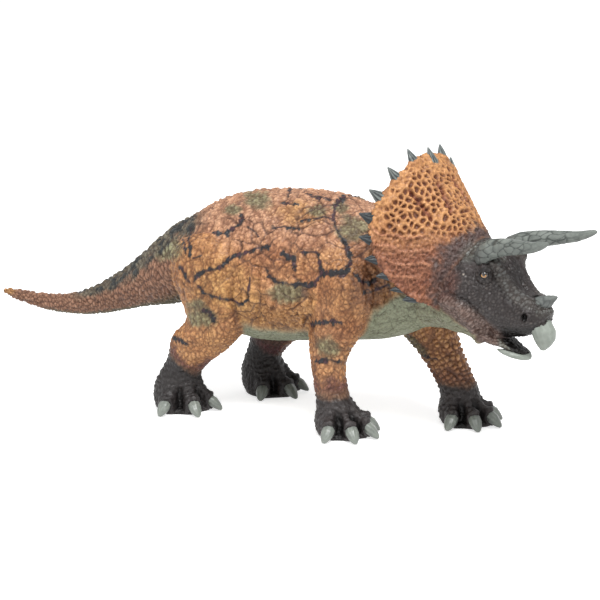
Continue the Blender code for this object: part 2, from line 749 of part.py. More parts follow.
def main():
    clear_scene()
    skin = material("orange_skin", SKIN_COLOUR, SKIN_ROUGHNESS)
    dark_skin = material("dark_head_skin", DARK_SKIN_COLOUR, DARK_SKIN_ROUGHNESS)
    horn_skin = material("grey_horn", HORN_COLOUR, HORN_ROUGHNESS)
    glass = material("amber_eye", EYE_COLOUR, EYE_ROUGHNESS)

    root = empty("figure")
    torso = make_torso(root, skin)
    make_tail(root, skin)
    rump = TORSO_SHARES[0][0] * BODY_LENGTH
    tail_socket = loft("tail_socket", peg_rings(rump, 1, rump_height(), CLEARANCE, -OVERRUN, TAIL_SIDES))
    cut(torso, cutter("tail_socket", tail_socket, root))

    for leg in make_legs():
        limb = add_piece(leg.name, leg.mesh(), root, skin)
        seat(torso, limb)
        make_nails(leg, limb, root, horn_skin)

    head_place = head_frame_matrix().translation
    head_frame = empty("head_turn", root, head_place, HEAD_TURN)
    head = make_skull(head_frame, dark_skin)
    neck_socket = loft("neck_socket", peg_rings(neck_joint(), -1, 0, CLEARANCE, -OVERRUN, HEAD_SIDES))
    cut(torso, cutter("neck_socket", neck_socket, head_frame))

    for name, side in (("right", -1), ("left", 1)):
        seat(head, make_eye(f"eye_{name}", side, head_frame, glass))
        seat(head, make_brow_horn(f"brow_horn_{name}", side, head_frame, horn_skin))
    seat(head, make_nose_horn(head_frame, horn_skin))
    seat(head, make_upper_beak(head_frame, horn_skin))

    jaw_rings = [head_ring(row, JAW_SIDES) for row in JAW_SHARES]
    jaw = add_piece("lower_jaw", loft("lower_jaw", jaw_rings), head_frame, dark_skin)
    seat(head, jaw)
    beak_rings = [head_ring(row, JAW_SIDES) for row in LOWER_BEAK_SHARES]
    lower_beak = add_piece("lower_beak", loft("lower_beak", beak_rings), head_frame, horn_skin)
    seat(lower_beak, jaw)

    frill = make_frill(head_frame, skin)
    make_spikes(frill, head_frame, horn_skin)
    seat(frill, head)
    centre_on_box(root)


main()
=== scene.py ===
# %% [markdown]
# A toy horned dinosaur, about 29 cm long, moulded in soft plastic and painted by hand.
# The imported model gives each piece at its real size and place. This lesson gives it its looks: one
# continuous skin with scales, folds and frill pits, horn pieces with their streaks, the paint, and a
# plain studio. Lengths are in metres, +X runs to the snout, +Y to the figure's left and +Z up.

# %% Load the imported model
import json
from math import cos, pi, radians, sin

import bmesh
import bpy
import numpy as np
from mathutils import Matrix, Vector
from mathutils.bvhtree import BVHTree


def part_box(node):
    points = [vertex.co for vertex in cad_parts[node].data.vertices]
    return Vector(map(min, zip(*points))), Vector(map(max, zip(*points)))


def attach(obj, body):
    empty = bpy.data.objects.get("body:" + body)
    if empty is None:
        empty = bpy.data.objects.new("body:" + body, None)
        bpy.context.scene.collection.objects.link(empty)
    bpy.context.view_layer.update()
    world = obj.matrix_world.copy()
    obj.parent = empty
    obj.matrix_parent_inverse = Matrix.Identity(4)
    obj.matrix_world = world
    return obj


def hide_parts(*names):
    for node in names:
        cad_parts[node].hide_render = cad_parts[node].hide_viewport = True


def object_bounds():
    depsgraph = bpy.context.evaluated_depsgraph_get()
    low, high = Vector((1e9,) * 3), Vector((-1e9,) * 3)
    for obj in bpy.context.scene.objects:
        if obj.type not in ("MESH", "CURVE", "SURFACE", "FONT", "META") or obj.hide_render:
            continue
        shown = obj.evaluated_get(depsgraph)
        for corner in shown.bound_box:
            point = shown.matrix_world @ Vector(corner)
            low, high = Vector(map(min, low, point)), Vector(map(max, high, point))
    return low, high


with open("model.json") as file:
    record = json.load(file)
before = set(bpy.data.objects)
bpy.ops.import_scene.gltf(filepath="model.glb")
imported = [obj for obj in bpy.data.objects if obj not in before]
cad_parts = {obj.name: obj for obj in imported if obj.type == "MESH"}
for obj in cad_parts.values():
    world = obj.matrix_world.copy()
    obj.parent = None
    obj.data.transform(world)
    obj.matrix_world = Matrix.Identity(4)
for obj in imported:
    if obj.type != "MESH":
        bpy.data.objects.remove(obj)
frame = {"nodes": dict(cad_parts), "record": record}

MM = 0.001
packed_box = [list(corner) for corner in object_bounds()]
print("packed box", packed_box)

# %% [markdown]
# The figure's skin has no seams: on the toy, the mould and the paint hide where torso, tail, legs, head
# and frill meet. So the skin starts as one shape. Copies of the soft pieces are welded, swollen a little
# so that they close the gaps between them, joined, and remeshed with small voxels, which melts them
# into one closed surface with even faces. Even faces are what a relief of small scales needs.

# %% Name the soft and the hard pieces
LEGS = ["fore_leg_right", "fore_leg_left", "hind_leg_right", "hind_leg_left"]
SOFT = ["torso", "tail", "head", "lower_jaw", "frill"] + LEGS
HARD = sorted(name for name in frame["nodes"] if name not in SOFT)
VOXEL = 0.5 * MM
SKIN_SWELL = 0.30 * MM
slot_of = {part["node"]: part["material_slot"] for part in frame["record"]["subparts"]}
print(len(SOFT), "soft pieces,", len(HARD), "hard pieces")


# %% Helpers for copies and modifiers
def deselect():
    bpy.ops.object.select_all(action="DESELECT")


def pick(piece):
    deselect()
    piece.select_set(True)
    bpy.context.view_layer.objects.active = piece


def welded_copy(node, name):
    """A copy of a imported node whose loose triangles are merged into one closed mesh."""
    piece = bpy.data.objects.new(name, frame["nodes"][node].data.copy())
    piece.data.materials.clear()
    bpy.context.scene.collection.objects.link(piece)
    shape = bmesh.new()
    shape.from_mesh(piece.data)
    bmesh.ops.remove_doubles(shape, verts=shape.verts, dist=0.001 * MM)
    shape.to_mesh(piece.data)
    shape.free()
    return piece


def finish_with(piece, kind, **settings):
    """Adds a modifier, gives it its settings and applies it."""
    step = piece.modifiers.new(kind, kind)
    for name, value in settings.items():
        setattr(step, name, value)
    pick(piece)
    bpy.ops.object.modifier_apply(modifier=step.name)


# %% Melt the soft pieces into one skin
parts = [welded_copy(node, f"soft_{node}") for node in SOFT]
for part in parts:
    finish_with(part, "DISPLACE", strength=SKIN_SWELL, mid_level=0.0)
deselect()
for part in parts:
    part.select_set(True)
bpy.context.view_layer.objects.active = parts[0]
bpy.ops.object.join()
skin = bpy.context.object
skin.name = "skin"
finish_with(skin, "REMESH", mode="VOXEL", voxel_size=VOXEL)
print("skin faces", len(skin.data.polygons))


# %% Arrays for the skin
def points_of(mesh):
    flat = np.empty(len(mesh.vertices) * 3)
    mesh.vertices.foreach_get("co", flat)
    return flat.reshape(-1, 3)


def normals_of(mesh):
    flat = np.empty(len(mesh.vertices) * 3)
    mesh.vertex_normals.foreach_get("vector", flat)
    return flat.reshape(-1, 3)


def set_points(mesh, points):
    mesh.vertices.foreach_set("co", points.ravel())
    mesh.update()


def edges_of(mesh):
    flat = np.empty(len(mesh.edges) * 2, dtype=np.int64)
    mesh.edges.foreach_get("vertices", flat)
    return flat.reshape(-1, 2)


def spread(values, edges, times, weight=0.5):
    """Values per vertex, blurred over the surface by moving each toward its neighbours' mean."""
    count = np.bincount(edges.ravel(), minlength=len(values))
    for _ in range(times):
        total = np.bincount(edges[:, 0], values[edges[:, 1]], len(values))
        total += np.bincount(edges[:, 1], values[edges[:, 0]], len(values))
        values = values + weight * (total / count - values)
    return values


def ramp(low, high, values):
    """0 below low, 1 above high, smooth between them."""
    t = np.clip((values - low) / (high - low), 0, 1)
    return t * t * (3 - 2 * t)


# %% [markdown]
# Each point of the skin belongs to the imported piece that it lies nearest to. That tells the later steps
# where the leg ends and the torso starts, how to smooth each part, and where to part the skin again.

# %% Find each point's own piece
def tree_of(nodes):
    """Search tree over several nodes, and the node's number of each of its faces."""
    corners = []
    faces = []
    owner = []
    for number, node in enumerate(nodes):
        mesh = frame["nodes"][node].data
        start = len(corners)
        corners.extend(vertex.co for vertex in mesh.vertices)
        faces.extend([start + i for i in face.vertices] for face in mesh.polygons)
        owner.extend([number] * len(mesh.polygons))
    return BVHTree.FromPolygons(corners, faces), np.array(owner)


def nearest(tree, points):
    """Nearest face and its distance for each point."""
    found = [tree.find_nearest(point) for point in points]
    return np.array([hit[2] for hit in found]), np.array([hit[3] for hit in found])


soft_tree, soft_owner = tree_of(SOFT)
hard_tree, hard_owner = tree_of(HARD)
points = points_of(skin.data)
edges = edges_of(skin.data)
face, _ = nearest(soft_tree, points)
owner = soft_owner[face]
hard_face, hard_gap = nearest(hard_tree, points)
hard_name = np.array(HARD)[hard_owner[hard_face]]
for number, node in enumerate(SOFT):
    print(node, int((owner == number).sum()))


# %% Smooth away the facets, least where the shapes are thin or hold a hard piece
def group(piece, name, weights, levels=20):
    """Vertex group with the weights rounded to a few levels."""
    made = piece.vertex_groups.new(name=name)
    rounded = np.round(weights * levels).astype(int)
    for level in range(1, levels + 1):
        made.add([int(i) for i in np.nonzero(rounded == level)[0]], level / levels, "REPLACE")
    return made


is_on = {node: (owner == number).astype(float) for number, node in enumerate(SOFT)}
thin = is_on["frill"] + is_on["lower_jaw"]
far_from_hard = ramp(0.4 * MM, 2.5 * MM, hard_gap)
smoothing = spread((1 - 0.85 * thin - 0.4 * is_on["head"]) * far_from_hard, edges, 4)
group(skin, "smoothing", np.clip(smoothing, 0, 1))
seam = (owner[edges[:, 0]] != owner[edges[:, 1]])
on_seam = np.zeros(len(points))
on_seam[edges[seam].ravel()] = 1
near_seam = np.clip(spread(on_seam, edges, 40) * 8, 0, 1)
group(skin, "seams", near_seam * far_from_hard * (1 - is_on["frill"]))
finish_with(skin, "SMOOTH", factor=0.5, iterations=60, vertex_group="smoothing")
finish_with(skin, "SMOOTH", factor=0.5, iterations=60, vertex_group="seams")
print("smoothed")

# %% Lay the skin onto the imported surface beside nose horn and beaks, so that they stand out fully
SNUG = ["nose_horn", "upper_beak", "lower_beak"]
is_snug = np.isin(hard_name, SNUG)
snug = spread(is_snug * ramp(3.6 * MM, 1.2 * MM, hard_gap), edges, 3)
points = points_of(skin.data)
for i in np.nonzero(snug > 0.02)[0]:
    place, out, _, _ = soft_tree.find_nearest(points[i])
    points[i] += snug[i] * (np.array(place - 0.1 * MM * out) - points[i])
set_points(skin.data, points)
print("laid on", int((snug > 0.02).sum()), "points")

# %% [markdown]
# The camera comes before the relief, because the painted lines and patches of this toy are laid out as
# they appear in its picture, 600 by 600 pixels large: a point of the skin finds its place in the picture
# through the camera. The left side isn't seen, so it takes the right side's marks, mirrored.

# %% Camera at the picture's angle
TARGET_HEIGHT = 52 * MM
TARGET_SIDE = -9.7 * MM
CAMERA_TURN = radians(30)
CAMERA_RISE = radians(12)
CAMERA_DISTANCE = 672 * MM
LENS = 96
SENSOR = 36
PICTURE = 600
HALF_BODY = 60 * MM
mid_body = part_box("torso")[0].x + HALF_BODY
target = Vector((mid_body, TARGET_SIDE, TARGET_HEIGHT))
level = cos(CAMERA_RISE)
back = Vector((sin(CAMERA_TURN) * level, -cos(CAMERA_TURN) * level, sin(CAMERA_RISE)))
lens = bpy.data.cameras.new("camera")
lens.lens = LENS
lens.sensor_width = SENSOR
camera = bpy.data.objects.new("camera", lens)
bpy.context.scene.collection.objects.link(camera)
camera.location = target + back * CAMERA_DISTANCE
camera.rotation_euler = back.to_track_quat("Z", "Y").to_euler()
bpy.context.scene.camera = camera
bpy.context.view_layer.update()
print("camera at", [round(value, 4) for value in camera.location])


# %% Where a point lies in the picture and in the head
def on_picture(points):
    """Pixel columns and rows of points in the 600 by 600 picture."""
    turned = (points - np.array(camera.location)) @ np.array(camera.matrix_world.to_3x3())
    pixels_each = LENS / SENSOR * PICTURE
    column = PICTURE / 2 + pixels_each * turned[:, 0] / -turned[:, 2]
    row = PICTURE / 2 - pixels_each * turned[:, 1] / -turned[:, 2]
    return np.stack([column, row], axis=1)


HEAD_PIVOT = np.array((52 * MM + mid_body, 0, 66 * MM))
HEAD_TURN = radians(-10)
HEAD_AXES = np.array([
    (cos(HEAD_TURN), sin(HEAD_TURN), 0),
    (-sin(HEAD_TURN), cos(HEAD_TURN), 0),
    (0, 0, 1),
])


def in_head(points):
    """Places along the head, to its left and up from the neck's middle, in millimetres."""
    return (points - HEAD_PIVOT) @ HEAD_AXES.T / MM


def from_head(places):
    return places @ HEAD_AXES * MM + HEAD_PIVOT


# %% Mirror the left side to the right, where the picture shows the marks
def leg_line(points, mask):
    """Heights and middles of a leg in level slices, to follow its lean."""
    heights = np.arange(1, 80, 4) * MM
    middles = []
    for height in heights:
        slice_ = points[mask & (abs(points[:, 2] - height) < 3 * MM)]
        middles.append(slice_[:, 0].mean() if len(slice_) else np.nan)
    middles = np.array(middles)
    known = ~np.isnan(middles)
    return heights[known], middles[known]


def mirrored(points, owner):
    """Points of the left side moved to where their twins are on the right side."""
    moved = points.copy()
    moved[:, 1] = -abs(points[:, 1])
    for pair in ("fore_leg", "hind_leg"):
        left = owner == SOFT.index(f"{pair}_left")
        right = owner == SOFT.index(f"{pair}_right")
        left_line = np.interp(points[left, 2], *leg_line(points, left))
        right_line = np.interp(points[left, 2], *leg_line(points, right))
        moved[left, 0] += right_line - left_line
    headed = np.isin(owner, [SOFT.index(name) for name in ("head", "lower_jaw", "frill")])
    places = in_head(points[headed])
    places[:, 1] = -abs(places[:, 1])
    moved[headed] = from_head(places)
    return moved


points = points_of(skin.data)
as_right = mirrored(points, owner)
pixel = on_picture(as_right)
flipped = points[:, 1] > 0
print("picture columns", pixel[:, 0].min().round(), pixel[:, 0].max().round())

# %% [markdown]
# Scales are cells: each point of the surface belongs to the nearest of many scattered centres, and the
# skin dips where the nearest and the second nearest are equally far. Blender's Voronoi texture works the
# same way; here the cells are worked out per point, so that they can follow the tail, the legs and the
# frill, and so that the paint can later cover whole scales.


# %% Scattered numbers, cells and soft noise
def scatter(grid, seed):
    """A fixed number between 0 and 1 for each whole grid place."""
    mixed = np.full(len(grid), seed * 7919 + 17, dtype=np.uint64)
    for axis in range(grid.shape[1]):
        mixed = (mixed ^ grid[:, axis].astype(np.uint64)) * np.uint64(0x9E3779B97F4A7C15)
        mixed ^= mixed >> np.uint64(29)
    mixed = mixed * np.uint64(0xBF58476D1CE4E5B9)
    mixed ^= mixed >> np.uint64(32)
    return (mixed % np.uint64(1000003)).astype(float) / 1000003


def grid_steps(steps, places):
    """All ways to take one of the steps along each axis of the places."""
    count = places.shape[1]
    return np.stack(np.meshgrid(*[steps] * count), -1).reshape(-1, count)


def cells(places, seed, jitter=0.8):
    """Distances to the nearest and next centre, the nearest centre's number and its place."""
    base = np.floor(places).astype(np.int64)
    first = np.full(len(places), 9.0)
    second = first.copy()
    number = first.copy()
    centre = places.copy()
    for offset in grid_steps((-1, 0, 1), places):
        grid = base + offset
        spot = grid + 0.5
        for axis in range(places.shape[1]):
            spot[:, axis] += jitter * (scatter(grid, seed + axis + 1) - 0.5)
        gap = np.sqrt(((places - spot) ** 2).sum(1))
        closer = gap < first
        second = np.where(closer, first, np.minimum(second, gap))
        number = np.where(closer, scatter(grid, seed + 9), number)
        centre = np.where(closer[:, None], spot, centre)
        first = np.where(closer, gap, first)
    return first, second, number, centre


def noise(places, seed):
    """Soft noise between -1 and 1 with features one unit large."""
    base = np.floor(places).astype(np.int64)
    part = places - base
    part = part * part * (3 - 2 * part)
    total = np.zeros(len(places))
    for corner in grid_steps((0, 1), places):
        share = np.prod(np.where(corner, part, 1 - part), axis=1)
        total += share * scatter(base + corner, seed)
    return total * 2 - 1


def drift(places, seed, count=3):
    """Soft noise along several axes, to push places about."""
    return np.stack([noise(places, seed + axis) for axis in range(count)], axis=1)


def scale_relief(places, seed, groove=0.16, jitter=0.8):
    """0 in the grooves between scales, 1 on their rounded tops; also each scale's number and middle."""
    first, second, number, centre = cells(places, seed, jitter)
    edge = ramp(0, 2 * groove, second - first)
    dome = 1 - 0.45 * np.clip(first / 0.6, 0, 1) ** 2
    return edge * dome, number, centre


# %% [markdown]
# Marks and forms are placed by lines and spots of the picture. The distance of each point from such a
# line, in pixels, then tells how much it takes part: one pixel is about half a millimetre.

# %% Distances in the picture
def off_line(pixels, line):
    """Distance in pixels from a line of several points."""
    nearest_yet = np.full(len(pixels), 1e9)
    for start, end in zip(line, line[1:]):
        start = np.array(start, float)
        run = np.array(end, float) - start
        share = np.clip(((pixels - start) @ run) / (run @ run), 0, 1)
        gap = np.hypot(*(pixels - start - share[:, None] * run).T)
        nearest_yet = np.minimum(nearest_yet, gap)
    return nearest_yet


def in_spot(pixels, spot):
    """0 in the middle of an oval spot, 1 on its rim: column, row, half-width, half-height."""
    column, row, half_width, half_height = spot
    return np.hypot((pixels[:, 0] - column) / half_width, (pixels[:, 1] - row) / half_height)


def raised(forms, pixels):
    """Heights of forms, each given by its line, its reach in pixels and its height in millimetres."""
    return sum(height * ramp(reach, 0, off_line(pixels, line)) for line, reach, height in forms)


# %% Weights of the regions
mm = (points - np.array((mid_body, 0, 0))) / MM
normal = normals_of(skin.data)


def rough(size, seed):
    """Noise over the skin in three sizes, the largest given in millimetres, for ragged edges."""
    places = mm / size
    large = 0.6 * noise(places, seed)
    return large + 0.3 * noise(places * 2.1, seed + 1) + 0.2 * noise(places * 4.3, seed + 2)


along, across, up = in_head(points).T
soft_on = {node: spread(is_on[node], edges, 6) for node in SOFT}
on_legs = sum(soft_on[node] for node in LEGS)
on_hind = soft_on["hind_leg_right"] + soft_on["hind_leg_left"]
on_head = np.clip(soft_on["head"] + soft_on["lower_jaw"], 0, 1)
on_frill = soft_on["frill"]
on_tail = soft_on["tail"]
on_body = np.clip(soft_on["torso"] + on_legs, 0, 1)
BELLY_LINE = [(-62, 47), (-45, 45), (-30, 42), (0, 41), (22, 42), (34, 47), (43, 55), (50, 61), (58, 64)]
belly_height = np.interp(mm[:, 0], *np.array(BELLY_LINE).T)
above_belly = mm[:, 2] - belly_height + 2 * rough(6, 3)
belly = ramp(1.5, -2.5, above_belly) * soft_on["torso"]
THROAT_LINE = [(0, 64), (16, 61), (24, 56), (30, 50), (38, 42), (46, 30)]
throat_height = np.interp(along, *np.array(THROAT_LINE).T)
throat = ramp(1.0, -2.0, mm[:, 2] - throat_height + 1.5 * rough(5, 4)) * on_head
HIND_ANKLE = [(-60, 28), (-52, 25), (-44, 18), (-30, 18)]
FORE_ANKLE = 18
hind_height = np.interp(as_right[:, 0] / MM - mid_body / MM, *np.array(HIND_ANKLE).T)
ankle_height = np.where(on_hind > 0.5, hind_height, FORE_ANKLE)
above_ankle = mm[:, 2] - ankle_height + 1.6 * rough(4, 6)
foot = ramp(2.5, -2.5, above_ankle) * on_legs
frill_front = on_frill * ramp(-0.2, 0.2, normal[:, 0])
frill_back = on_frill - frill_front
print("regions ready")

# %% [markdown]
# Before the small relief come the larger forms of the body: hollows before the thigh and behind the
# shoulder, the swell of the muscles, the brow, the cheek fold, eyelids and nostrils. On a real model a
# sculptor pushes them with a soft brush. Here each is a line of the picture with a reach and a depth.

# %% Muscles, furrows and folds of the body
BODY_FORMS = [
    ([(256, 262), (253, 290), (257, 322)], 6, -1.1),
    ([(263, 266), (262, 292), (265, 318)], 4, -0.6),
    ([(300, 262), (303, 296), (308, 326)], 8, -0.9),
    ([(326, 232), (330, 262), (328, 292)], 16, 0.9),
    ([(214, 238), (222, 268), (214, 292)], 16, 0.7),
    ([(206, 306), (204, 322)], 8, -0.8),
    ([(184, 300), (190, 322), (186, 340)], 8, 0.5),
    ([(373, 276), (376, 300), (374, 324)], 3, -0.7),
    ([(366, 280), (368, 302), (366, 322)], 3, -0.5),
    ([(384, 284), (386, 300), (384, 318)], 3, -0.5),
    ([(345, 275), (352, 300), (352, 325)], 5, -0.7),
]
body_forms = on_body * raised(BODY_FORMS, pixel)
print("body forms", body_forms.min().round(2), body_forms.max().round(2))

# %% Brow, cheek, eyelids and nostrils of the head
HEAD_FORMS = [
    ([(499, 262), (503, 268), (511, 284), (520, 296), (530, 302)], 6, 1.4),
    ([(495, 272), (502, 288), (510, 302)], 5, -0.9),
    ([(434, 300), (455, 305), (470, 325), (480, 342)], 6, 1.7),
    ([(447, 294), (465, 301), (480, 318), (491, 334)], 4, -1.3),
    ([(462, 262), (478, 258), (494, 264)], 5, 0.8),
    ([(507, 338), (525, 335), (541, 328)], 4, 0.4),
    ([(473, 258), (483, 267), (495, 266)], 6, 1.7),
    ([(527, 303), (536, 300), (544, 299)], 5, 0.7),
    ([(536, 311), (546, 314)], 6, 0.4),
    ([(549, 306), (551, 317)], 7, 1.3),
]
SADDLE = [([(526, 268), (530, 280), (536, 290)], 12, -3.2)]
FAR_FORMS = [
    ([(518, 257), (520, 268)], 8, 2.6),
    ([(520, 341), (531, 353)], 8, -1.8),
]
near_snug = is_snug * ramp(4.5 * MM, 1.5 * MM, hard_gap)
head_forms = raised(HEAD_FORMS, pixel) + (1 - near_snug) * raised(SADDLE, pixel)
head_forms += flipped * raised(FAR_FORMS, on_picture(points))
head_forms = spread(head_forms, edges, 3)
NOSTRIL = (524, 318, 3.2, 4.6)
nostril = in_spot(pixel, NOSTRIL)
head_forms += 0.5 * ramp(2.2, 1.3, nostril) - 2.2 * ramp(1.25, 0.3, nostril)
eyes = [sum(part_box(name), Vector()) / 2 for name in ("eye_right", "eye_left")]
eye_gap = np.min([np.linalg.norm(points - np.array(eye), axis=1) for eye in eyes], axis=0) / MM
head_forms += 0.9 * ramp(1.3, 0, abs(eye_gap - 2.2)) - 0.5 * ramp(0.9, 0, abs(eye_gap - 4.0))
under_eye = ramp(3.4, 4.4, eye_gap) * ramp(9.5, 6.5, eye_gap) * ramp(7.5, 6.0, up)
head_forms += 0.22 * np.sin(eye_gap * 2 * pi / 1.5) * under_eye
head_forms *= on_head
print("head forms", head_forms.min().round(2), head_forms.max().round(2))

# %% [markdown]
# Each region of the skin gets its own scales: pebbles on the flank, rows across the tail, larger round
# scales on the legs, pits on the frill, fine bumps on the head and creases on the belly. The heights
# of all regions are blended by soft weights and the points are moved along their normals.

# %% Scales of flank, tail and legs
def warped(seed, size, reach):
    """The points in millimetres, pushed about so that rows don't run straight."""
    return mm + reach * drift(mm / size, seed)


PEBBLE = np.array((1.5, 1.7, 2.3))
pebble_places = warped(20, 6, 1.6)
pebbles, pebble_number, pebble_middle = scale_relief(pebble_places / PEBBLE, 30, groove=0.2, jitter=1.0)
lumps, _, _ = scale_relief(warped(25, 11, 2.0) / 4.3, 35, groove=0.24)
plate_first, plate_second, plate_number, _ = cells(warped(45, 7, 2.4) / np.array((9, 9, 7)), 47, 0.9)
plates = ramp(0.0, 0.12, plate_second - plate_first)
folds = np.stack([mm[:, 0] + 3 * noise(mm / 14, 41), mm[:, 1] * 0.25, mm[:, 2] * 0.2], axis=1)
fold_relief, _, _ = scale_relief(folds / 4.4, 50, groove=0.26)
TAIL_MIDDLE = [(-170, 37), (-150, 35), (-120, 36), (-90, 44), (-60, 63)]
tail_middle = np.interp(mm[:, 0], *np.array(TAIL_MIDDLE).T)
tail_angle = np.arctan2(mm[:, 1], mm[:, 2] - tail_middle)
row_run = mm[:, 0] + 0.35 * (mm[:, 2] - tail_middle) + 1.6 * noise(mm / 5, 61)
tail_girth = np.interp(mm[:, 0], (-170, -60), (2.0, 6.4))
tail_places = np.stack([row_run / 1.4, tail_angle * tail_girth * 0.55], axis=1)
tail_rows, row_number, _ = scale_relief(tail_places, 60, groove=0.24, jitter=0.9)
ridge_scales, _, _ = scale_relief(warped(65, 9, 1.0) / 2.6, 66, groove=0.2)
LEG_SCALE = 2.3
LEG_LEAN = radians(38)
LEG_AXES = np.array([(cos(LEG_LEAN), 0, sin(LEG_LEAN)), (0, 1, 0), (-sin(LEG_LEAN), 0, cos(LEG_LEAN))])
bead_places = warped(70, 6, 0.9) @ LEG_AXES.T / LEG_SCALE
beads, bead_number, _ = scale_relief(bead_places, 80, groove=0.3, jitter=0.5)
leg_scales = np.where(soft_on["fore_leg_left"] > 0.5, beads, pebbles)
leg_number = np.where(soft_on["fore_leg_left"] > 0.5, bead_number, pebble_number)
print("scales ready")

# %% Pits of the frill, bumps of the head, creases and wrinkles
def beside(word):
    """True where the name of the nearest hard piece holds a word."""
    return np.char.find(hard_name, word) >= 0


PIT = 2.7
side = abs(across)
frill_places = np.stack([0.67 * side - 0.74 * up, 0.55 * side + 0.5 * up - 0.67 * along], axis=1)
frill_places += 0.9 * drift(mm / 4, 91, 2)
pit_first, pit_second, pit_number, _ = cells(frill_places / PIT, 90, 0.7)
PITS_END = (256, 224)
upper_frill = ramp(*PITS_END, pixel[:, 1] + 8 * noise(mm / 5, 95))
low_first, low_second, _, _ = cells(frill_places / PIT * 1.3, 97, 0.9)
pits = upper_frill * ramp(0.14, 0.50, pit_second - pit_first) * ramp(0.62, 0.25, pit_first)
pits *= 0.3 + 0.7 * ramp(1.2 * MM, 5.5 * MM, hard_gap)
pits += 0.6 * (1 - upper_frill) * ramp(0.05, 0.40, low_second - low_first)
FRILL_GROOVES = [[(410, 190), (421, 204), (431, 217)], [(439, 182), (446, 196), (452, 210)]]
FRILL_RIDGES = [
    [(367, 226), (384, 233), (404, 238), (424, 236)],
    [(368, 240), (388, 247), (410, 252), (430, 250)],
    [(374, 256), (394, 262), (416, 264), (430, 266)],
    [(386, 272), (402, 277), (420, 280)],
]
grooves = sum(ramp(3.2, 0.6, off_line(pixel, line)) for line in FRILL_GROOVES)
wavy = pixel + 3 * drift(mm / 4, 98, 2)
ridges = np.clip(sum(ramp(2.2, 0.4, off_line(wavy, line)) for line in FRILL_RIDGES), 0, 1)
head_bumps, bump_number, _ = scale_relief(warped(100, 6, 0.8) / 1.35, 110, groove=0.25)
crease_places = np.stack([mm[:, 0] / 9, mm[:, 1] / 5, mm[:, 2] / 4], axis=1)
crease_first, crease_second, _, _ = cells(crease_places + 0.3 * noise(mm / 3, 120)[:, None], 121)
creases = 1 - ramp(0.0, 0.10, crease_second - crease_first)
wrinkles = 0.5 + 0.5 * np.sin((mm[:, 2] + 1.8 * noise(mm / 5, 130)) * 2 * pi / 2.4)
nail_gap = np.where(beside("nail"), hard_gap / MM, 99)
knuckles = 0.5 + 0.5 * np.cos((nail_gap + 0.6 * noise(mm / 3, 135)) * 2 * pi / 2.3)
knuckles *= ramp(9.0, 6.0, nail_gap)
print("pits", pits.mean().round(2))

# %% Toes: valleys in the foot between its nails
valleys = np.zeros(len(points))
for leg in LEGS:
    nails = [node for node in HARD if node.startswith(leg.replace("leg", "nail"))]
    tips = np.array([sum(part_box(node), Vector()) / 2 for node in nails])
    mine = owner == SOFT.index(leg)
    ankle_middle = points[mine & (abs(points[:, 2] - 16 * MM) < 2 * MM)].mean(axis=0)
    away = points - ankle_middle
    nail_turn = np.arctan2(tips[:, 1] - ankle_middle[1], tips[:, 0] - ankle_middle[0])
    turn = np.arctan2(away[:, 1], away[:, 0])
    apart = np.sort(abs((turn[:, None] - nail_turn + pi) % (2 * pi) - pi), axis=1)
    reach = np.hypot(away[:, 0], away[:, 1]) / MM
    gap = (apart[:, 1] - apart[:, 0]) * reach
    valley = ramp(6.0, 0.5, gap) * ramp(9.0, 6.5, apart[:, 0] * reach)
    valley *= ramp(4.5, 8, reach) * ramp(15, 7, mm[:, 2])
    valleys = np.maximum(valleys, valley * mine)
valleys = spread(valleys, edges, 2)
print("valleys", valleys.max().round(2))

# %% Move the skin by the blended heights
flank = soft_on["torso"] * (1 - belly)
upper_leg = on_legs * (1 - foot)
braced = soft_on["fore_leg_left"]
side_folds = ramp(74, 56, mm[:, 2])
shin = ramp(46, 34, mm[:, 2])
top_of_tail = on_tail * ramp(1.0, 0.5, abs(tail_angle))
depth = flank * (0.45 * (pebbles - 1) + 0.6 * (lumps - 1) + (0.4 + 0.7 * side_folds) * (fold_relief - 1))
depth += (flank + 0.5 * upper_leg) * 0.35 * (plates - 1)
depth += upper_leg * (1 - shin) * (0.42 * (pebbles - 1) + 0.3 * (lumps - 1) + 0.4 * (fold_relief - 1))
depth += upper_leg * shin * (0.55 + 0.35 * braced) * (leg_scales - 1)
depth += foot * (0.3 * (leg_scales - 1) + 0.35 * (wrinkles - 1) + 0.4 * knuckles - 3.6 * valleys)
depth += (on_tail - top_of_tail) * 0.8 * (tail_rows - 1)
depth += top_of_tail * (0.9 * ridge_scales - 0.5)
depth += frill_front * (-1.1 * pits - 1.1 * grooves + 0.6 * ridges + 0.35 * (pebbles - 1))
depth += frill_back * 0.45 * (pebbles - 1)
depth += on_head * (1 - throat) * 0.34 * (head_bumps - 1)
depth += (belly + throat) * -0.45 * creases
depth *= ramp(0.0, 1.2 * MM, hard_gap)
collar = ramp(1.8 * MM, 0.4 * MM, hard_gap)
cuticle = ramp(3.0, 0.3, nail_gap) * ramp(3.0, 7.0, mm[:, 2])
depth += np.where(eye_gap < 5, 0, np.where(is_snug, -0.4, 0.4) * collar)
depth += body_forms + head_forms + 1.3 * cuticle
depth *= ramp(0.0, 1.0, mm[:, 2])
set_points(skin.data, points + normal * (depth * MM)[:, None])
low = np.array(packed_box[0])
high = np.array(packed_box[1])
set_points(skin.data, np.clip(points_of(skin.data), low, high))
print("relief", depth.min().round(2), depth.max().round(2))
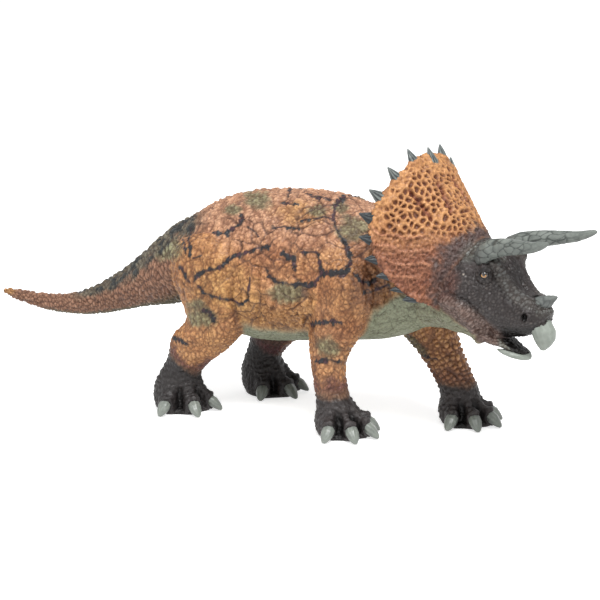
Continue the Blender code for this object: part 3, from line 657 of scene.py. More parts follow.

# %% [markdown]
# The paint. The toy is sprayed orange, tinted on the back and belly, and then gets hand-painted patches,
# black crackle lines that follow whole scales, dark feet and a dark head. Other masks are painted shade:
# the inner legs, the neck under the frill, the far brow, nostrils, mouth and the valleys between the toes;
# and the tops of the head's bumps get a painted highlight. Each of these is a mask: a number per point
# between 0 and 1. The material later mixes its colours by these masks.

# %% Crackle lines, made of whole scales
CRACKS = [
    (1.3, [(194, 276), (198, 273), (220, 268), (226, 260), (239, 254), (258, 247), (268, 246)]),
    (2.4, [(193, 281), (197, 275)]),
    (2.2, [(224, 262), (236, 255)]),
    (0.9, [(248, 278), (246, 300)]),
    (1.3, [(246, 300), (241, 306), (226, 300), (203, 294), (197, 286)]),
    (0.8, [(189, 226), (188, 239), (189, 257)]),
    (1.4, [(179, 268), (187, 282)]),
    (2.2, [(241, 214), (239, 222)]),
    (1.4, [(239, 222), (225, 233), (213, 232)]),
    (0.7, [(246, 225), (258, 236)]),
    (1.4, [(271, 228), (284, 226), (298, 227)]),
    (0.8, [(282, 201), (297, 203)]),
    (1.4, [(291, 184), (288, 193)]),
    (0.8, [(306, 191), (316, 195), (333, 198)]),
    (2.2, [(344, 195), (335, 204)]),
    (1.2, [(335, 204), (333, 217), (338, 233), (346, 244)]),
    (2.4, [(346, 244), (350, 260), (346, 272)]),
    (2.8, [(350, 271), (333, 274), (322, 273)]),
    (1.4, [(322, 274), (319, 262), (316, 252), (300, 252)]),
    (0.8, [(301, 219), (325, 215), (332, 219)]),
    (3.4, [(282, 253), (291, 258)]),
    (1.6, [(291, 258), (294, 271)]),
    (1.4, [(264, 268), (268, 278), (273, 282)]),
    (1.2, [(273, 282), (290, 285)]),
    (2.2, [(290, 285), (311, 286)]),
    (1.2, [(311, 286), (321, 274)]),
    (1.2, [(354, 272), (360, 280), (368, 283), (376, 281)]),
    (0.9, [(364, 294), (374, 291), (388, 285)]),
    (2.6, [(309, 325), (325, 322), (341, 323)]),
    (1.3, [(316, 362), (330, 361), (343, 363)]),
    (1.7, [(174, 338), (181, 341), (187, 344)]),
    (2.2, [(201, 311), (208, 314), (214, 322)]),
    (0.9, [(182, 238), (184, 252)]),
    (0.9, [(192, 258), (200, 255)]),
]
to_middle = pebble_middle * PEBBLE - pebble_places
to_middle[:, 1] *= np.where(flipped, -1, 1)
middle_pixel = on_picture(as_right + to_middle * MM)
broken = rough(5, 140)
wobbling = pixel + 1.2 * drift(mm / 2.5, 143, 2)
cracks = np.zeros(len(points))
for half_width, line in CRACKS:
    gap = 0.35 * off_line(pixel, line) + 0.65 * off_line(middle_pixel, line) + 0.7 * broken
    gap += 1.0 * (pebble_number - 0.4)
    cracks = np.maximum(cracks, ramp(0.95 * half_width + 0.8, 0.95 * half_width - 0.2, gap))
    cracks = np.maximum(cracks, 0.85 * ramp(1.3, 0.4, off_line(wobbling, line)))
cracks *= on_body * (1 - foot)
hairline = ramp(0.09, 0.03, plate_second - plate_first) * ramp(-0.5, 0.0, noise(mm / 9, 145))
hairline *= (flank + 0.6 * upper_leg) * (1 - cracks)
crack_plum = cracks * ramp(0.62, 0.72, pebble_number)
print("cracks cover", cracks.mean().round(4))


# %% Olive patches and the tints of back and belly
GREEN_SPOTS = [
    (257, 198, 17, 10), (351, 228, 20, 16), (286, 293, 19, 13), (328, 350, 14, 14), (166, 249, 16, 13),
    (202, 318, 15, 12), (318, 208, 12, 7), (232, 208, 12, 7), (196, 306, 9, 8), (341, 204, 12, 8),
]
ragged = 0.5 * rough(3.5, 150)
green = np.zeros(len(points))
for spot in GREEN_SPOTS:
    green = np.maximum(green, ramp(1.15, 0.45, in_spot(pixel, spot) + ragged))
green *= 0.85 * (on_body + on_tail) * (1 - foot)
back_tint = on_body * ramp(70, 88, mm[:, 2] + 4 * rough(12, 160)) * (1 - on_hind)
low_flank = ramp(26, 4, above_belly + 5 * noise(mm / 9, 155))
yellow = 0.8 * on_body * low_flank * (1 - belly) * (1 - on_legs)
YELLOW_SPOTS = [(383, 318, 9, 8), (420, 338, 18, 7), (6, 290, 9, 6), (222, 288, 34, 34), (300, 212, 26, 16)]
for spot in YELLOW_SPOTS:
    yellow += 0.7 * ramp(1.4, 0.3, in_spot(pixel, spot) + ragged)
yellow = np.clip(yellow * (on_body + on_tail) + 0.25 * on_legs, 0, 1)
print("green cover", green.mean().round(3), "yellow cover", yellow.mean().round(3))

# %% Dusk on the tail's top, the dark feet, and painted shade on the inner and rear faces of the legs
DUSK_STARTS = (62, 88)
DUSK_ENDS = (208, 186)
UNDER_TAIL_STARTS = (30, 60)
tail_reach = ramp(*DUSK_STARTS, pixel[:, 0]) * ramp(*DUSK_ENDS, pixel[:, 0])
dusk = ramp(1.25, 0.75, abs(tail_angle) + 0.4 * rough(4, 170)) * tail_reach * (1 - on_legs)
mottle = dusk * ramp(-0.05, 0.2, rough(4, 172))
under_tail = on_tail * ramp(2.2, 2.8, abs(tail_angle)) * ramp(*UNDER_TAIL_STARTS, pixel[:, 0])
# Painted shade on the legs' inner faces below the body: strong on the hind legs, weaker on the fore legs
# and only toward their rear and lower parts.
inward = -np.sign(points[:, 1]) * normal[:, 1]
inner = ramp(0.05, 0.55, inward) * ramp(54, 44, mm[:, 2]) * on_legs
behind = ramp(0.45, -0.5, normal[:, 0])
fore_painted_shade = np.clip(0.75 * behind + 0.5 * ramp(50, 26, mm[:, 2]), 0, 1)
painted_leg_shade = inner * np.where(on_hind > 0.5, 0.9, 0.2 * fore_painted_shade)
ankle_edge = above_ankle + 3.5 * (leg_number - 0.5) + 2.5 * noise(mm / 4, 175)
ankle = (0.85 - 0.35 * braced) * on_legs * ramp(9.0, 2.5, ankle_edge) * (1 - foot)
charcoal = np.clip(foot + on_head * (1 - throat), 0, 1)
print("dusk cover", dusk.mean().round(3), "shaded cover", painted_leg_shade.mean().round(3))

# %% Tints of the frill, and painted shade on the neck under the frill
NECK_SHADE_SPOT = (368, 291, 26, 26)
LOW_FRILL_ROWS = (218, 262)
SHALLOW_PIT_ROWS = (220, 250)
HEAD_EDGE = [(205, 498), (228, 474), (240, 455), (252, 442), (265, 437), (290, 434)]
edge_column = np.interp(pixel[:, 1], *np.array(HEAD_EDGE).T)
face_fade = ramp(-14, 8, pixel[:, 0] - edge_column + 14 * rough(2.5, 180)) * on_frill
frill_low = on_frill * ramp(*LOW_FRILL_ROWS, pixel[:, 1] + 6 * rough(8, 182))
frill_pit = frill_front * pits * (1 - 0.5 * ramp(*SHALLOW_PIT_ROWS, pixel[:, 1]))
flushed = 0.22 * frill_low * ramp(0.0, 0.6, noise(mm / 4, 184))
maroon = np.clip(frill_front * (0.8 * grooves + flushed), 0, 1)
# Painted shade on the side of the neck below the frill's rim.
neck_painted_shade = 0.75 * ramp(1.3, 0.4, in_spot(pixel, NECK_SHADE_SPOT) + ragged) * on_body

# %% Tints of the face
BROW_SPOT = (476, 264, 14, 8)
CHEEK_SPOT = (441, 284, 20, 24)
NOSE_SPOT = (545, 309, 12, 9)
FAR_BROW_SHADE_SPOT = (520, 266, 9, 17)
CHEEK_FOLD = [(448, 306), (468, 318), (486, 333), (500, 346)]
SNOUT_RIDGE = [(494, 262), (503, 281), (514, 296), (530, 304)]
HORN_ROOT_ROWS = (266, 256)
smooth_brow = ramp(1.2, 0.8, in_spot(pixel, BROW_SPOT)) * on_head
cheek = ramp(1.2, 0.5, in_spot(pixel, CHEEK_SPOT) + 0.4 * ragged) * on_head
cheek_fold = ramp(13, 4, off_line(pixel, CHEEK_FOLD)) * on_head
snout_ridge = ramp(9, 2, off_line(pixel, SNOUT_RIDGE)) * on_head
near_horn = beside("brow_horn") * ramp(7, 1, hard_gap / MM)
near_horn *= (on_head + on_frill) * ramp(*HORN_ROOT_ROWS, pixel[:, 1])
near_nose = ramp(1.3, 0.5, in_spot(pixel, NOSE_SPOT) + 0.5 * ragged) * on_head
near_horn = np.clip(near_horn + 0.5 * near_nose, 0, 1)
# Painted shade on the far brow, under the far horn.
far_brow_painted_shade = 0.6 * ramp(1.3, 0.6, in_spot(pixel, FAR_BROW_SHADE_SPOT)) * on_head

# %% Black of eyelids, painted shade in nostrils, mouth and between the toes, the pale jaw's rim, and specks and painted highlights
MOUTH_STARTS = (498, 505)
JAW_RIM_STARTS = (496, 501)
WHITE_SPOT = (465, 273, 2.6, 3.6)
# Painted shade in the nostrils, and black round each eye for the eyelids.
black = np.maximum(ramp(1.15, 0.75, nostril), ramp(0.5, 0.0, abs(eye_gap - 2.3))) * on_head
black = np.maximum(black, far_brow_painted_shade)
# Painted shade inside the mouth: black on the jaw's upward faces and the head's downward faces toward the
# snout.
mouth = ramp(*MOUTH_STARTS, pixel[:, 0])
black = np.maximum(black, mouth * soft_on["lower_jaw"] * ramp(0.2, 0.5, normal[:, 2]))
black = np.maximum(black, mouth * soft_on["head"] * ramp(-0.35, -0.7, normal[:, 2]))
JAW_RIM = [(497, 335), (503, 341), (512, 351), (524, 359)]
jaw_rim = np.interp(pixel[:, 0], *np.array(JAW_RIM).T)
jaw_pale = ramp(-1, 1.5, pixel[:, 1] - jaw_rim) * ramp(*JAW_RIM_STARTS, pixel[:, 0])
jaw_pale *= soft_on["lower_jaw"]
# Painted highlight on the tops of some of the head's bumps, and random pale specks where the frill fades
# into the face.
specked = 0.25 + bump_number * (0.5 + 0.5 * rough(5, 186))
specks_and_highlights = on_head * (1 - throat) * ramp(0.45, 0.8, specked) * ramp(0.4, 0.8, head_bumps)
specks_and_highlights = 0.4 * specks_and_highlights * (1 - smooth_brow) + 0.15 * face_fade * ramp(0.5, 0.75, pebble_number)
white = ramp(1.2, 0.7, in_spot(pixel, WHITE_SPOT)) * ramp(0.5, 0.7, head_bumps)
white *= on_head
# Painted shade in the valleys between the toes; the hind feet are darker all over.
dark_toes = np.maximum(ramp(0.15, 0.7, valleys), 0.5 * on_hind)
black = np.maximum(black, foot * dark_toes)
print("face masks ready")

# %% Height and tone of the scales: the height for painted shade in the grooves and a painted highlight on the tops, the tone for each scale's own random darkening
body_height = 0.5 * pebbles + 0.25 * fold_relief + 0.25 * lumps
scale_height = (flank + upper_leg * (1 - shin)) * body_height
scale_height += upper_leg * shin * np.where(braced > 0.5, leg_scales, 0.15 + 0.75 * leg_scales)
scale_height += foot * (0.5 * leg_scales + 0.2 * wrinkles + 0.3 * knuckles) * (1 - valleys)
scale_height += (on_tail - top_of_tail) * tail_rows + top_of_tail * ridge_scales
scale_height += frill_front * (0.9 - 0.5 * pits) * (0.5 + 0.5 * pebbles) + frill_back * pebbles
scale_height += on_head * (1 - throat) * (head_bumps * (1 - smooth_brow) + 0.6 * smooth_brow)
scale_height += (belly + throat) * (0.8 - 0.6 * creases)
tone = flank * (0.55 * pebble_number + 0.45 * plate_number) + upper_leg * leg_number
tone += 0.6 * upper_leg * (1 - shin) * (1 - on_hind)
tone += on_tail * row_number + on_head * bump_number + on_frill * pit_number

# %% The layers of paint, painted shade and painted highlight, the first at the bottom: name, mask and colour as a screen shows it
LAYERS = [
    ("back", back_tint, (204, 160, 128)),
    ("tail", on_tail, (150, 114, 92)),
    ("yellow", yellow, (202, 156, 98)),
    # The neck layer is painted shade under the frill.
    ("neck", neck_painted_shade, (128, 90, 66)),
    ("frill", on_frill, (198, 146, 96)),
    ("frill_low", frill_low, (152, 102, 76)),
    ("frill_pit", frill_pit, (120, 72, 48)),
    ("under_tail", under_tail, (108, 106, 84)),
    ("green", green, (134, 137, 106)),
    ("dusk", dusk, (112, 107, 92)),
    ("painted_leg_shade", painted_leg_shade, (66, 50, 47)),
    ("ankle", ankle, (92, 54, 58)),
    ("charcoal", charcoal, (60, 56, 56)),
    ("cheek", cheek, (96, 68, 60)),
    ("cheek_fold", cheek_fold, (124, 106, 98)),
    ("brow", smooth_brow, (62, 57, 57)),
    ("belly", np.clip(belly + throat, 0, 1), (124, 128, 105)),
    ("maroon", maroon, (118, 60, 48)),
    ("face_fade", face_fade, (86, 68, 64)),
    ("ridge", snout_ridge, (100, 101, 99)),
    ("near_horn", near_horn, (98, 102, 97)),
    ("mottle", mottle, (50, 54, 54)),
    ("frill_ridge", 0.7 * frill_front * ridges, (190, 136, 104)),
    ("hairline", 0.75 * hairline, (92, 64, 56)),
    ("crack", cracks, (42, 43, 48)),
    ("crack_plum", crack_plum, (76, 50, 60)),
    ("specks_and_highlights", specks_and_highlights, (112, 110, 107)),
    ("black", black, (24, 22, 22)),
    ("jaw_pale", jaw_pale, (132, 137, 129)),
    ("white", white, (170, 166, 158)),
]
MASKS = {"height": scale_height, "tone": tone}
MASKS.update((name, mask) for name, mask, _ in LAYERS)
print(len(MASKS), "masks")

# %% [markdown]
# The materials. A painter of such a toy sprays a base colour. The material lays the coloured masks over
# each other, darkens the grooves between scales as painted shade and lightens their tops as a painted
# highlight, both by the height mask, and adds a fine grain, a satin gloss and a bump.

# %% Helpers for materials
def screen(red, green, blue):
    """A colour named as it shows on a screen, from 0 to 255, turned to Blender's linear numbers."""
    share = np.array((red, green, blue)) / 255
    linear = np.where(share <= 0.04045, share / 12.92, ((share + 0.055) / 1.055) ** 2.4)
    return (*[float(value) for value in linear], 1)


def material(name):
    made = bpy.data.materials.new(name)
    made.use_nodes = True
    return made, made.node_tree, made.node_tree.nodes["Principled BSDF"]


def attribute(tree, name):
    node = tree.nodes.new("ShaderNodeAttribute")
    node.attribute_name = name
    return node.outputs["Fac"]


def put(node, **values):
    """Sets inputs of a node by their names, with an underscore for each gap in a name."""
    for name, value in values.items():
        node.inputs[name.replace("_", " ")].default_value = value


def texture(tree, kind, scale, **settings):
    """Noise or Voronoi texture on the object's own coordinates, scale in features per metre."""
    place = tree.nodes.new("ShaderNodeTexCoord")
    node = tree.nodes.new(f"ShaderNodeTex{kind}")
    put(node, Scale=scale, **settings)
    tree.links.new(place.outputs["Object"], node.inputs["Vector"])
    return node.outputs[0]


def levels(tree, value, low, high, to_low, to_high):
    """Maps a value from one range to another, clamped."""
    node = tree.nodes.new("ShaderNodeMapRange")
    put(node, From_Min=low, From_Max=high, To_Min=to_low, To_Max=to_high)
    tree.links.new(value, node.inputs["Value"])
    return node.outputs["Result"]


def mix(tree, factor, first, second, blend="MIX"):
    """Mix of two colours, each a socket or a colour as a screen shows it, by a number or a socket."""
    node = tree.nodes.new("ShaderNodeMix")
    node.data_type = "RGBA"
    node.blend_type = blend
    node.clamp_factor = True
    for socket, value in zip((node.inputs[0], node.inputs[6], node.inputs[7]), (factor, first, second)):
        if isinstance(value, bpy.types.NodeSocket):
            tree.links.new(value, socket)
        else:
            socket.default_value = screen(*value) if np.size(value) == 3 else value
    return node.outputs[2]


def bump(tree, shader, value, distance, strength=1.0):
    """Fine relief by shading alone, its height in metres."""
    node = tree.nodes.new("ShaderNodeBump")
    put(node, Distance=distance, Strength=strength)
    tree.links.new(value, node.inputs["Height"])
    tree.links.new(node.outputs["Normal"], shader.inputs["Normal"])


# %% The painted skin
def painted_skin(name, satin, bump_cells, bump_depth):
    made, tree, shader = material(name)
    patches = texture(tree, "Noise", 90, Detail=3)
    colour = mix(tree, levels(tree, patches, 0.35, 0.65, 0, 1), (206, 156, 106), (184, 130, 90))
    blush = texture(tree, "Noise", 38, Detail=2)
    colour = mix(tree, levels(tree, blush, 0.48, 0.62, 0, 0.4), colour, (182, 134, 108))
    for layer, _, paint in LAYERS:
        colour = mix(tree, attribute(tree, layer), colour, paint)
    height = attribute(tree, "height")
    tones = levels(tree, attribute(tree, "tone"), 0, 1, 0.0, 0.4)
    colour = mix(tree, tones, colour, (160, 116, 92), "MULTIPLY")
    # Painted shade in the grooves between scales and a painted highlight on their tops, both by the height
    # mask.
    colour = mix(tree, levels(tree, height, 0.0, 0.6, 0.8, 0), colour, (118, 84, 70), "MULTIPLY")
    colour = mix(tree, levels(tree, height, 0.75, 1.0, 0, 0.5), colour, (1.36, 1.34, 1.28, 1), "MULTIPLY")
    grain = texture(tree, "Noise", 1100, Detail=4)
    colour = mix(tree, levels(tree, grain, 0.42, 0.66, 0, 0.45), colour, (128, 104, 92), "MULTIPLY")
    tree.links.new(colour, shader.inputs["Base Color"])
    tree.links.new(levels(tree, patches, 0.3, 0.7, satin - 0.06, satin + 0.08), shader.inputs["Roughness"])
    put(shader, Specular_IOR_Level=0.3)
    fine = texture(tree, "Voronoi", bump_cells)
    bump(tree, shader, fine, bump_depth, 1.0)
    return made


skin_paint = {
    "orange_skin": painted_skin("orange_skin", 0.48, 800, 0.36 * MM),
    "dark_head_skin": painted_skin("dark_head_skin", 0.42, 760, 0.42 * MM),
}
print("skin materials", list(skin_paint))

# %% [markdown]
# The skin is parted again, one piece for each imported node. The borders follow the seams of the packed
# pieces. Each piece is closed by a fan inside the body, and keeps the whole skin's shading normals, so
# that no seam shows.

# %% Faces of each piece
flat = np.empty(len(skin.data.polygons) * 4, dtype=np.int64)
skin.data.polygons.foreach_get("vertices", flat)
quads = flat.reshape(-1, 4)
points = points_of(skin.data)
normal = normals_of(skin.data)
weights = np.stack([spread(is_on[node], edges, 12) for node in SOFT], axis=1)
label = weights[quads].sum(axis=1).argmax(axis=1)


def open_edges(faces):
    """Directed edges of the faces that no second face of them shares."""
    start = faces.ravel()
    end = np.roll(faces, -1, axis=1).ravel()
    forward = start * len(points) + end
    backward = end * len(points) + start
    alone = ~np.isin(forward, backward)
    return start[alone], end[alone]


def unpinch(label):
    """Gives all faces round a point where two borders touch to one piece."""
    touched = np.zeros(len(points), dtype=bool)
    for number in range(len(SOFT)):
        start, _ = open_edges(quads[label == number])
        touched |= np.bincount(start, minlength=len(points)) > 1
    for face in np.nonzero(touched[quads].any(axis=1))[0]:
        point = quads[face][touched[quads[face]]][0]
        around = label[faces_at(point)]
        label[faces_at(point)] = np.bincount(around).argmax()
    return int(touched.sum())


order = np.argsort(quads.ravel(), kind="stable")
first_use = np.searchsorted(quads.ravel()[order], np.arange(len(points) + 1))


def faces_at(point):
    return order[first_use[point]:first_use[point + 1]] // 4


SMALLEST = 600


def drop_islands(label):
    """Gives each island of fewer faces than the smallest real piece to the piece round it."""
    done = np.zeros(len(quads), dtype=bool)
    dropped = 0
    for seed in range(len(quads)):
        if done[seed]:
            continue
        island = [seed]
        done[seed] = True
        for face in island:
            for point in quads[face]:
                for other in faces_at(point):
                    if not done[other] and label[other] == label[seed]:
                        done[other] = True
                        island.append(other)
        if len(island) < SMALLEST:
            around = np.concatenate([label[faces_at(point)] for point in quads[island].ravel()])
            around = around[around != label[seed]]
            if len(around):
                label[island] = np.bincount(around).argmax()
                dropped += 1
    return dropped


print("islands dropped", drop_islands(label))
for _ in range(8):
    if unpinch(label) == 0:
        break
print("pinches left", unpinch(label.copy()))


# %% Close and name the pieces
def closed(faces):
    """The faces as lists, closed by fans, and the new points with their loops."""
    start, end = open_edges(faces)
    follow = dict(zip(start.tolist(), end.tolist()))
    fans = []
    centres = []
    while follow:
        point, following = follow.popitem()
        loop = [point]
        while following != point:
            loop.append(following)
            following = follow.pop(following)
        inset = 0.15 * np.ptp(points[loop], axis=0).max()
        centre = points[loop].mean(axis=0) - inset * normal[loop].mean(axis=0)
        number = len(points) + len(centres)
        fans += [(b, a, number) for a, b in zip(loop, loop[1:] + loop[:1])]
        centres.append((centre, loop[0]))
    return fans, centres


def finish_piece(piece, node, masks, paint):
    """Gives a piece its masks and its paint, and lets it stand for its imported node."""
    for name, values in masks.items():
        layer = piece.data.attributes.new(name, "FLOAT", "POINT")
        layer.data.foreach_set("value", values.astype(np.float32))
    piece.data.shade_smooth()
    piece.data.materials.append(paint)
    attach(piece, "root")
    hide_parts(node)


def skin_piece(number, node):
    """One piece of the skin as its own closed object, with masks and normals."""
    faces = quads[label == number]
    fans, centres = closed(faces)
    kept = np.unique(faces)
    new_number = np.full(len(points) + len(centres), -1)
    new_number[kept] = np.arange(len(kept))
    new_number[len(points):] = len(kept) + np.arange(len(centres))
    places = np.concatenate([points[kept]] + [centre[None] for centre, _ in centres])
    sources = np.concatenate([kept, [source for _, source in centres]]).astype(int)
    mesh = bpy.data.meshes.new(f"{node}_skin")
    all_faces = new_number[faces].tolist() + [[int(new_number[i]) for i in fan] for fan in fans]
    mesh.from_pydata(places.tolist(), [], all_faces)
    mesh.update()
    piece = bpy.data.objects.new(f"{node}_skin", mesh)
    bpy.context.scene.collection.objects.link(piece)
    masks = {name: values[sources] for name, values in MASKS.items()}
    finish_piece(piece, node, masks, skin_paint[slot_of[node]])
    mesh.normals_split_custom_set_from_vertices(normal[sources].tolist())
    return len(faces) * 2 + len(fans)


for number, node in enumerate(SOFT):
    print(node, "triangles", skin_piece(number, node))
bpy.data.objects.remove(skin)

# %% [markdown]
# The horns, beaks, nails and spikes are harder pieces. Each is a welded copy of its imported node, made of
# even faces by a fine remesh and smoothed; then it gets its own relief, counted along its length and round
# its axis: flutes on the spikes, a network of cracks on the horns and faint streaks on the nails.

# %% Even copies of the hard pieces
def even_copy(node, voxel, rounds):
    piece = welded_copy(node, f"{node}_looks")
    finish_with(piece, "REMESH", mode="VOXEL", voxel_size=voxel)
    finish_with(piece, "SMOOTH", factor=0.5, iterations=rounds)
    return piece


def axis_of(points):
    """Root and tip of a piece: the middle of what sits in the skin, and the point farthest from it."""
    _, gap = nearest(soft_tree, points)
    root = points[gap < 0.6 * MM].mean(axis=0)
    tip = points[np.linalg.norm(points - root, axis=1).argmax()]
    return root, tip


def around_axis(points, root, tip):
    """Share of the axis, distance along it and distances across it, for each point."""
    run = tip - root
    length = np.linalg.norm(run)
    run = run / length
    side_way = np.cross(run, (0, 1, 0))
    side_way = side_way / np.linalg.norm(side_way)
    up_way = np.cross(run, side_way)
    away = points - root
    along_run = away @ run
    across_run = np.stack([away @ side_way, away @ up_way], axis=1)
    return along_run / length, along_run / MM, across_run / MM


def push(piece, depth):
    points = points_of(piece.data)
    moved = points + normals_of(piece.data) * (depth * MM)[:, None]
    set_points(piece.data, np.clip(moved, low, high))


# %% Paint of the hard pieces
def horn_paint(name, pale, dark, groove, satin, streak, painted_highlight=0.2, rooted=0):
    """Grey horn: a painted highlight on top of the relief, dark in its grooves, darker to the tip, with a
    fine grain.
    """
    made, tree, shader = material(name)
    height = attribute(tree, "height")
    length = attribute(tree, "length")
    grain = texture(tree, "Noise", 420, Detail=5)
    colour = mix(tree, levels(tree, grain, 0.35, 0.65, 0, 1), pale, dark)
    colour = mix(tree, levels(tree, length, 0.45, 1.0, 0, 0.35), colour, dark)
    colour = mix(tree, levels(tree, height, 0.0, 0.7, streak, 0), colour, groove)
    colour = mix(tree, levels(tree, length, 0.02, 0.24, rooted, 0), colour, (74, 73, 72))
    # Painted highlight on the tops of the relief.
    colour = mix(tree, levels(tree, height, 0.8, 1.0, 0, painted_highlight), colour, (150, 156, 149))
    tree.links.new(colour, shader.inputs["Base Color"])
    tree.links.new(levels(tree, grain, 0.3, 0.7, satin, satin + 0.14), shader.inputs["Roughness"])
    put(shader, Specular_IOR_Level=0.35)
    bump(tree, shader, grain, 0.12 * MM, 0.5)
    return made


HORN = horn_paint("brow_horn", (104, 109, 104), (82, 87, 83), (44, 48, 46), 0.40, 0.85, rooted=0.85)
NOSE = horn_paint("nose_horn", (104, 108, 105), (76, 79, 77), (48, 50, 50), 0.40, 0.6, 0.1, 0.8)
BEAK = horn_paint("beak", (134, 140, 132), (124, 130, 122), (104, 108, 102), 0.34, 0.12)
NAIL = horn_paint("nail", (126, 131, 124), (108, 113, 107), (92, 96, 92), 0.22, 0.3)
SPIKE = horn_paint("spike", (108, 114, 111), (72, 78, 78), (36, 40, 42), 0.38, 1.0)
DARK_SPIKE = horn_paint("dark_spike", (36, 44, 48), (24, 30, 34), (20, 22, 25), 0.34, 1.0, 0.1)

# %% Brow horns and nose horn, with their cracks
def cracked(node, paint, cell_along, cell_across, deep, voxel=0.35 * MM, seed=200, wedge=0):
    piece = even_copy(node, voxel, 3)
    points = points_of(piece.data)
    share, along_run, across_run = around_axis(points, *axis_of(points))
    under = ramp(0.2, -0.8, normals_of(piece.data)[:, 2]) * ramp(1.0, 0.1, share)
    set_points(piece.data, points - np.outer(wedge * under, (0, 0, MM)))
    places = np.column_stack([along_run / cell_along, across_run / cell_across])
    places += 0.2 * drift(points / MM / 3, seed)
    first, second, number, _ = cells(places, seed + 5, 0.85)
    ridge = ramp(0.0, 0.14, second - first)
    push(piece, deep * (ridge - 1) * ramp(1.05, 0.75, share))
    height = 1 - (1 - ridge) * ramp(1.0, 0.6, share) - 0.25 * (1 - number)
    finish_piece(piece, node, {"height": height, "length": share}, paint)


for node in ("brow_horn_right", "brow_horn_left"):
    cracked(node, HORN, 4.6, 2.5, 0.22)
cracked("nose_horn", NOSE, 7.0, 2.4, 0.18, seed=230, wedge=2.4)
print("horns made")

# %% Spikes with flutes, the lower ones dark
FLUTES = 7


def fluted(node, paint, deep, voxel, count, seed, swell=0):
    piece = even_copy(node, voxel, 2)
    points = points_of(piece.data)
    share, _, across_run = around_axis(points, *axis_of(points))
    angle = np.arctan2(across_run[:, 1], across_run[:, 0])
    wave = 0.5 + 0.5 * np.cos(count * angle + 1.6 * noise(points / MM / 2.2, seed))
    wave = wave * ramp(1.05, 0.55, share) + ramp(0.55, 1.05, share)
    push(piece, deep * (wave - 1) + swell * ramp(1.1, 0.5, share))
    finish_piece(piece, node, {"height": wave, "length": share}, paint)


for node in HARD:
    if node.startswith("frill_spike"):
        number = int(node[-1]) if node[-1].isdigit() else 0
        fluted(node, DARK_SPIKE if number >= 4 else SPIKE, 0.28, 0.22 * MM, FLUTES, 300 + number)
print("spikes made")

# %% Nails and beaks
for node in HARD:
    if "_nail_" in node:
        fluted(node, NAIL, 0.03, 0.26 * MM, 11, 340)
for node, swell in (("upper_beak", 0.7), ("lower_beak", 0.2)):
    fluted(node, BEAK, 0.02, 0.32 * MM, 13, 350, swell)
print("nails and beaks made")

# %% [markdown]
# The eyes are balls in the sockets. Each is turned so that its pole looks out and a little forward; the
# rings near the pole are pushed out for the cornea, and the angle from the pole paints iris and pupil.

# %% Eyes
def eye_paint():
    made, tree, shader = material("eye")
    look = attribute(tree, "look")
    flecks = texture(tree, "Noise", 2600, Detail=3)
    amber = mix(tree, levels(tree, flecks, 0.35, 0.65, 0, 1), (186, 134, 50), (120, 76, 28))
    colour = mix(tree, levels(tree, look, 0.26, 0.34, 0, 1), (12, 10, 10), amber)
    colour = mix(tree, levels(tree, look, 0.56, 0.68, 0, 1), colour, (30, 25, 23))
    colour = mix(tree, levels(tree, attribute(tree, "lid"), 0.26, 0.32, 0, 1), colour, (34, 30, 29))
    tree.links.new(colour, shader.inputs["Base Color"])
    put(shader, Roughness=0.08, Coat_Weight=0.6, Coat_Roughness=0.03)
    bump(tree, shader, flecks, 0.03 * MM, 0.3)
    return made


EYE = eye_paint()
for node in ("eye_right", "eye_left"):
    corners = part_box(node)
    middle = (corners[0] + corners[1]) / 2
    radius = (corners[1].z - corners[0].z) / 2
    outward = -1 if node.endswith("right") else 1
    look_way = Vector(from_head(np.array((0.40, outward, 0.12))) - from_head(np.zeros(3))).normalized()
    deselect()
    bpy.ops.mesh.primitive_uv_sphere_add(segments=48, ring_count=32, radius=radius)
    piece = bpy.context.object
    piece.name = f"{node}_looks"
    turn = look_way.to_track_quat("Z", "Y").to_matrix().to_4x4()
    piece.data.transform(turn)
    points = points_of(piece.data)
    angle = np.arccos(np.clip(points @ np.array(look_way) / radius, -1, 1))
    points *= (0.985 + 0.03 * ramp(0.9, 0.3, angle))[:, None]
    lid = abs(points[:, 2] + 0.25 * MM) / radius
    set_points(piece.data, points + np.array(middle))
    finish_piece(piece, node, {"look": angle, "lid": lid}, EYE)
print("eyes made")

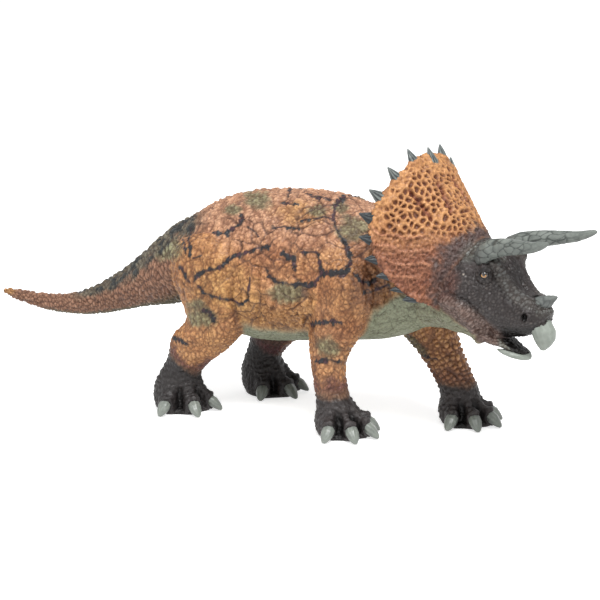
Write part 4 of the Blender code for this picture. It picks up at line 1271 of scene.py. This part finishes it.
# %% [markdown]
# A plain studio: a pale floor, a bright surround, one large lamp from above on the right and a weaker one
# from the left. The camera sees floor and surround as white, and the floor keeps the soft shadow.

# %% Rays that see the white surround
def seen(tree):
    """1 for rays from the camera, straight, reflected or through glass, and 0 for those that only light."""
    rays = tree.nodes.new("ShaderNodeLightPath")
    total = rays.outputs["Is Camera Ray"]
    for kind in ("Is Glossy Ray", "Is Transmission Ray"):
        either = tree.nodes.new("ShaderNodeMath")
        either.operation = "MAXIMUM"
        tree.links.new(total, either.inputs[0])
        tree.links.new(rays.outputs[kind], either.inputs[1])
        total = either.outputs[0]
    return total


# %% Studio
FLOOR_SIZE = 40
FLOOR_GREY = (0.86, 0.86, 0.86, 1)
FLOOR_GLOW = 0.64
SURROUND_LIGHT = 0.46
WHITE = (1, 1, 1, 1)
deselect()
bpy.ops.mesh.primitive_plane_add(size=FLOOR_SIZE)
floor = bpy.context.object
floor.name = "floor"
floor_paint, tree, shader = material("floor")
put(shader, Base_Color=FLOOR_GREY, Roughness=0.9, Emission_Color=WHITE)
glow = levels(tree, seen(tree), 0, 1, 0, FLOOR_GLOW)
tree.links.new(glow, shader.inputs["Emission Strength"])
floor.data.materials.append(floor_paint)

scene = bpy.context.scene
scene.view_settings.view_transform = "Standard"
world = bpy.data.worlds.new("studio")
scene.world = world
world.use_nodes = True
sky = world.node_tree
background = sky.nodes["Background"]
put(background, Color=WHITE)
strength = levels(sky, seen(sky), 0, 1, SURROUND_LIGHT, 1.0)
sky.links.new(strength, background.inputs["Strength"])


def lamp(name, place, size, energy):
    """Square lamp that points at the figure's middle."""
    light = bpy.data.lights.new(name, "AREA")
    light.size = size
    light.energy = energy
    made = bpy.data.objects.new(name, light)
    scene.collection.objects.link(made)
    made.location = target + Vector(place)
    made.rotation_euler = Vector(place).to_track_quat("Z", "Y").to_euler()


lamp("key", place=(0.45, -0.45, 1.05), size=0.6, energy=20)
lamp("fill", place=(-0.7, -0.9, 0.5), size=0.9, energy=4)
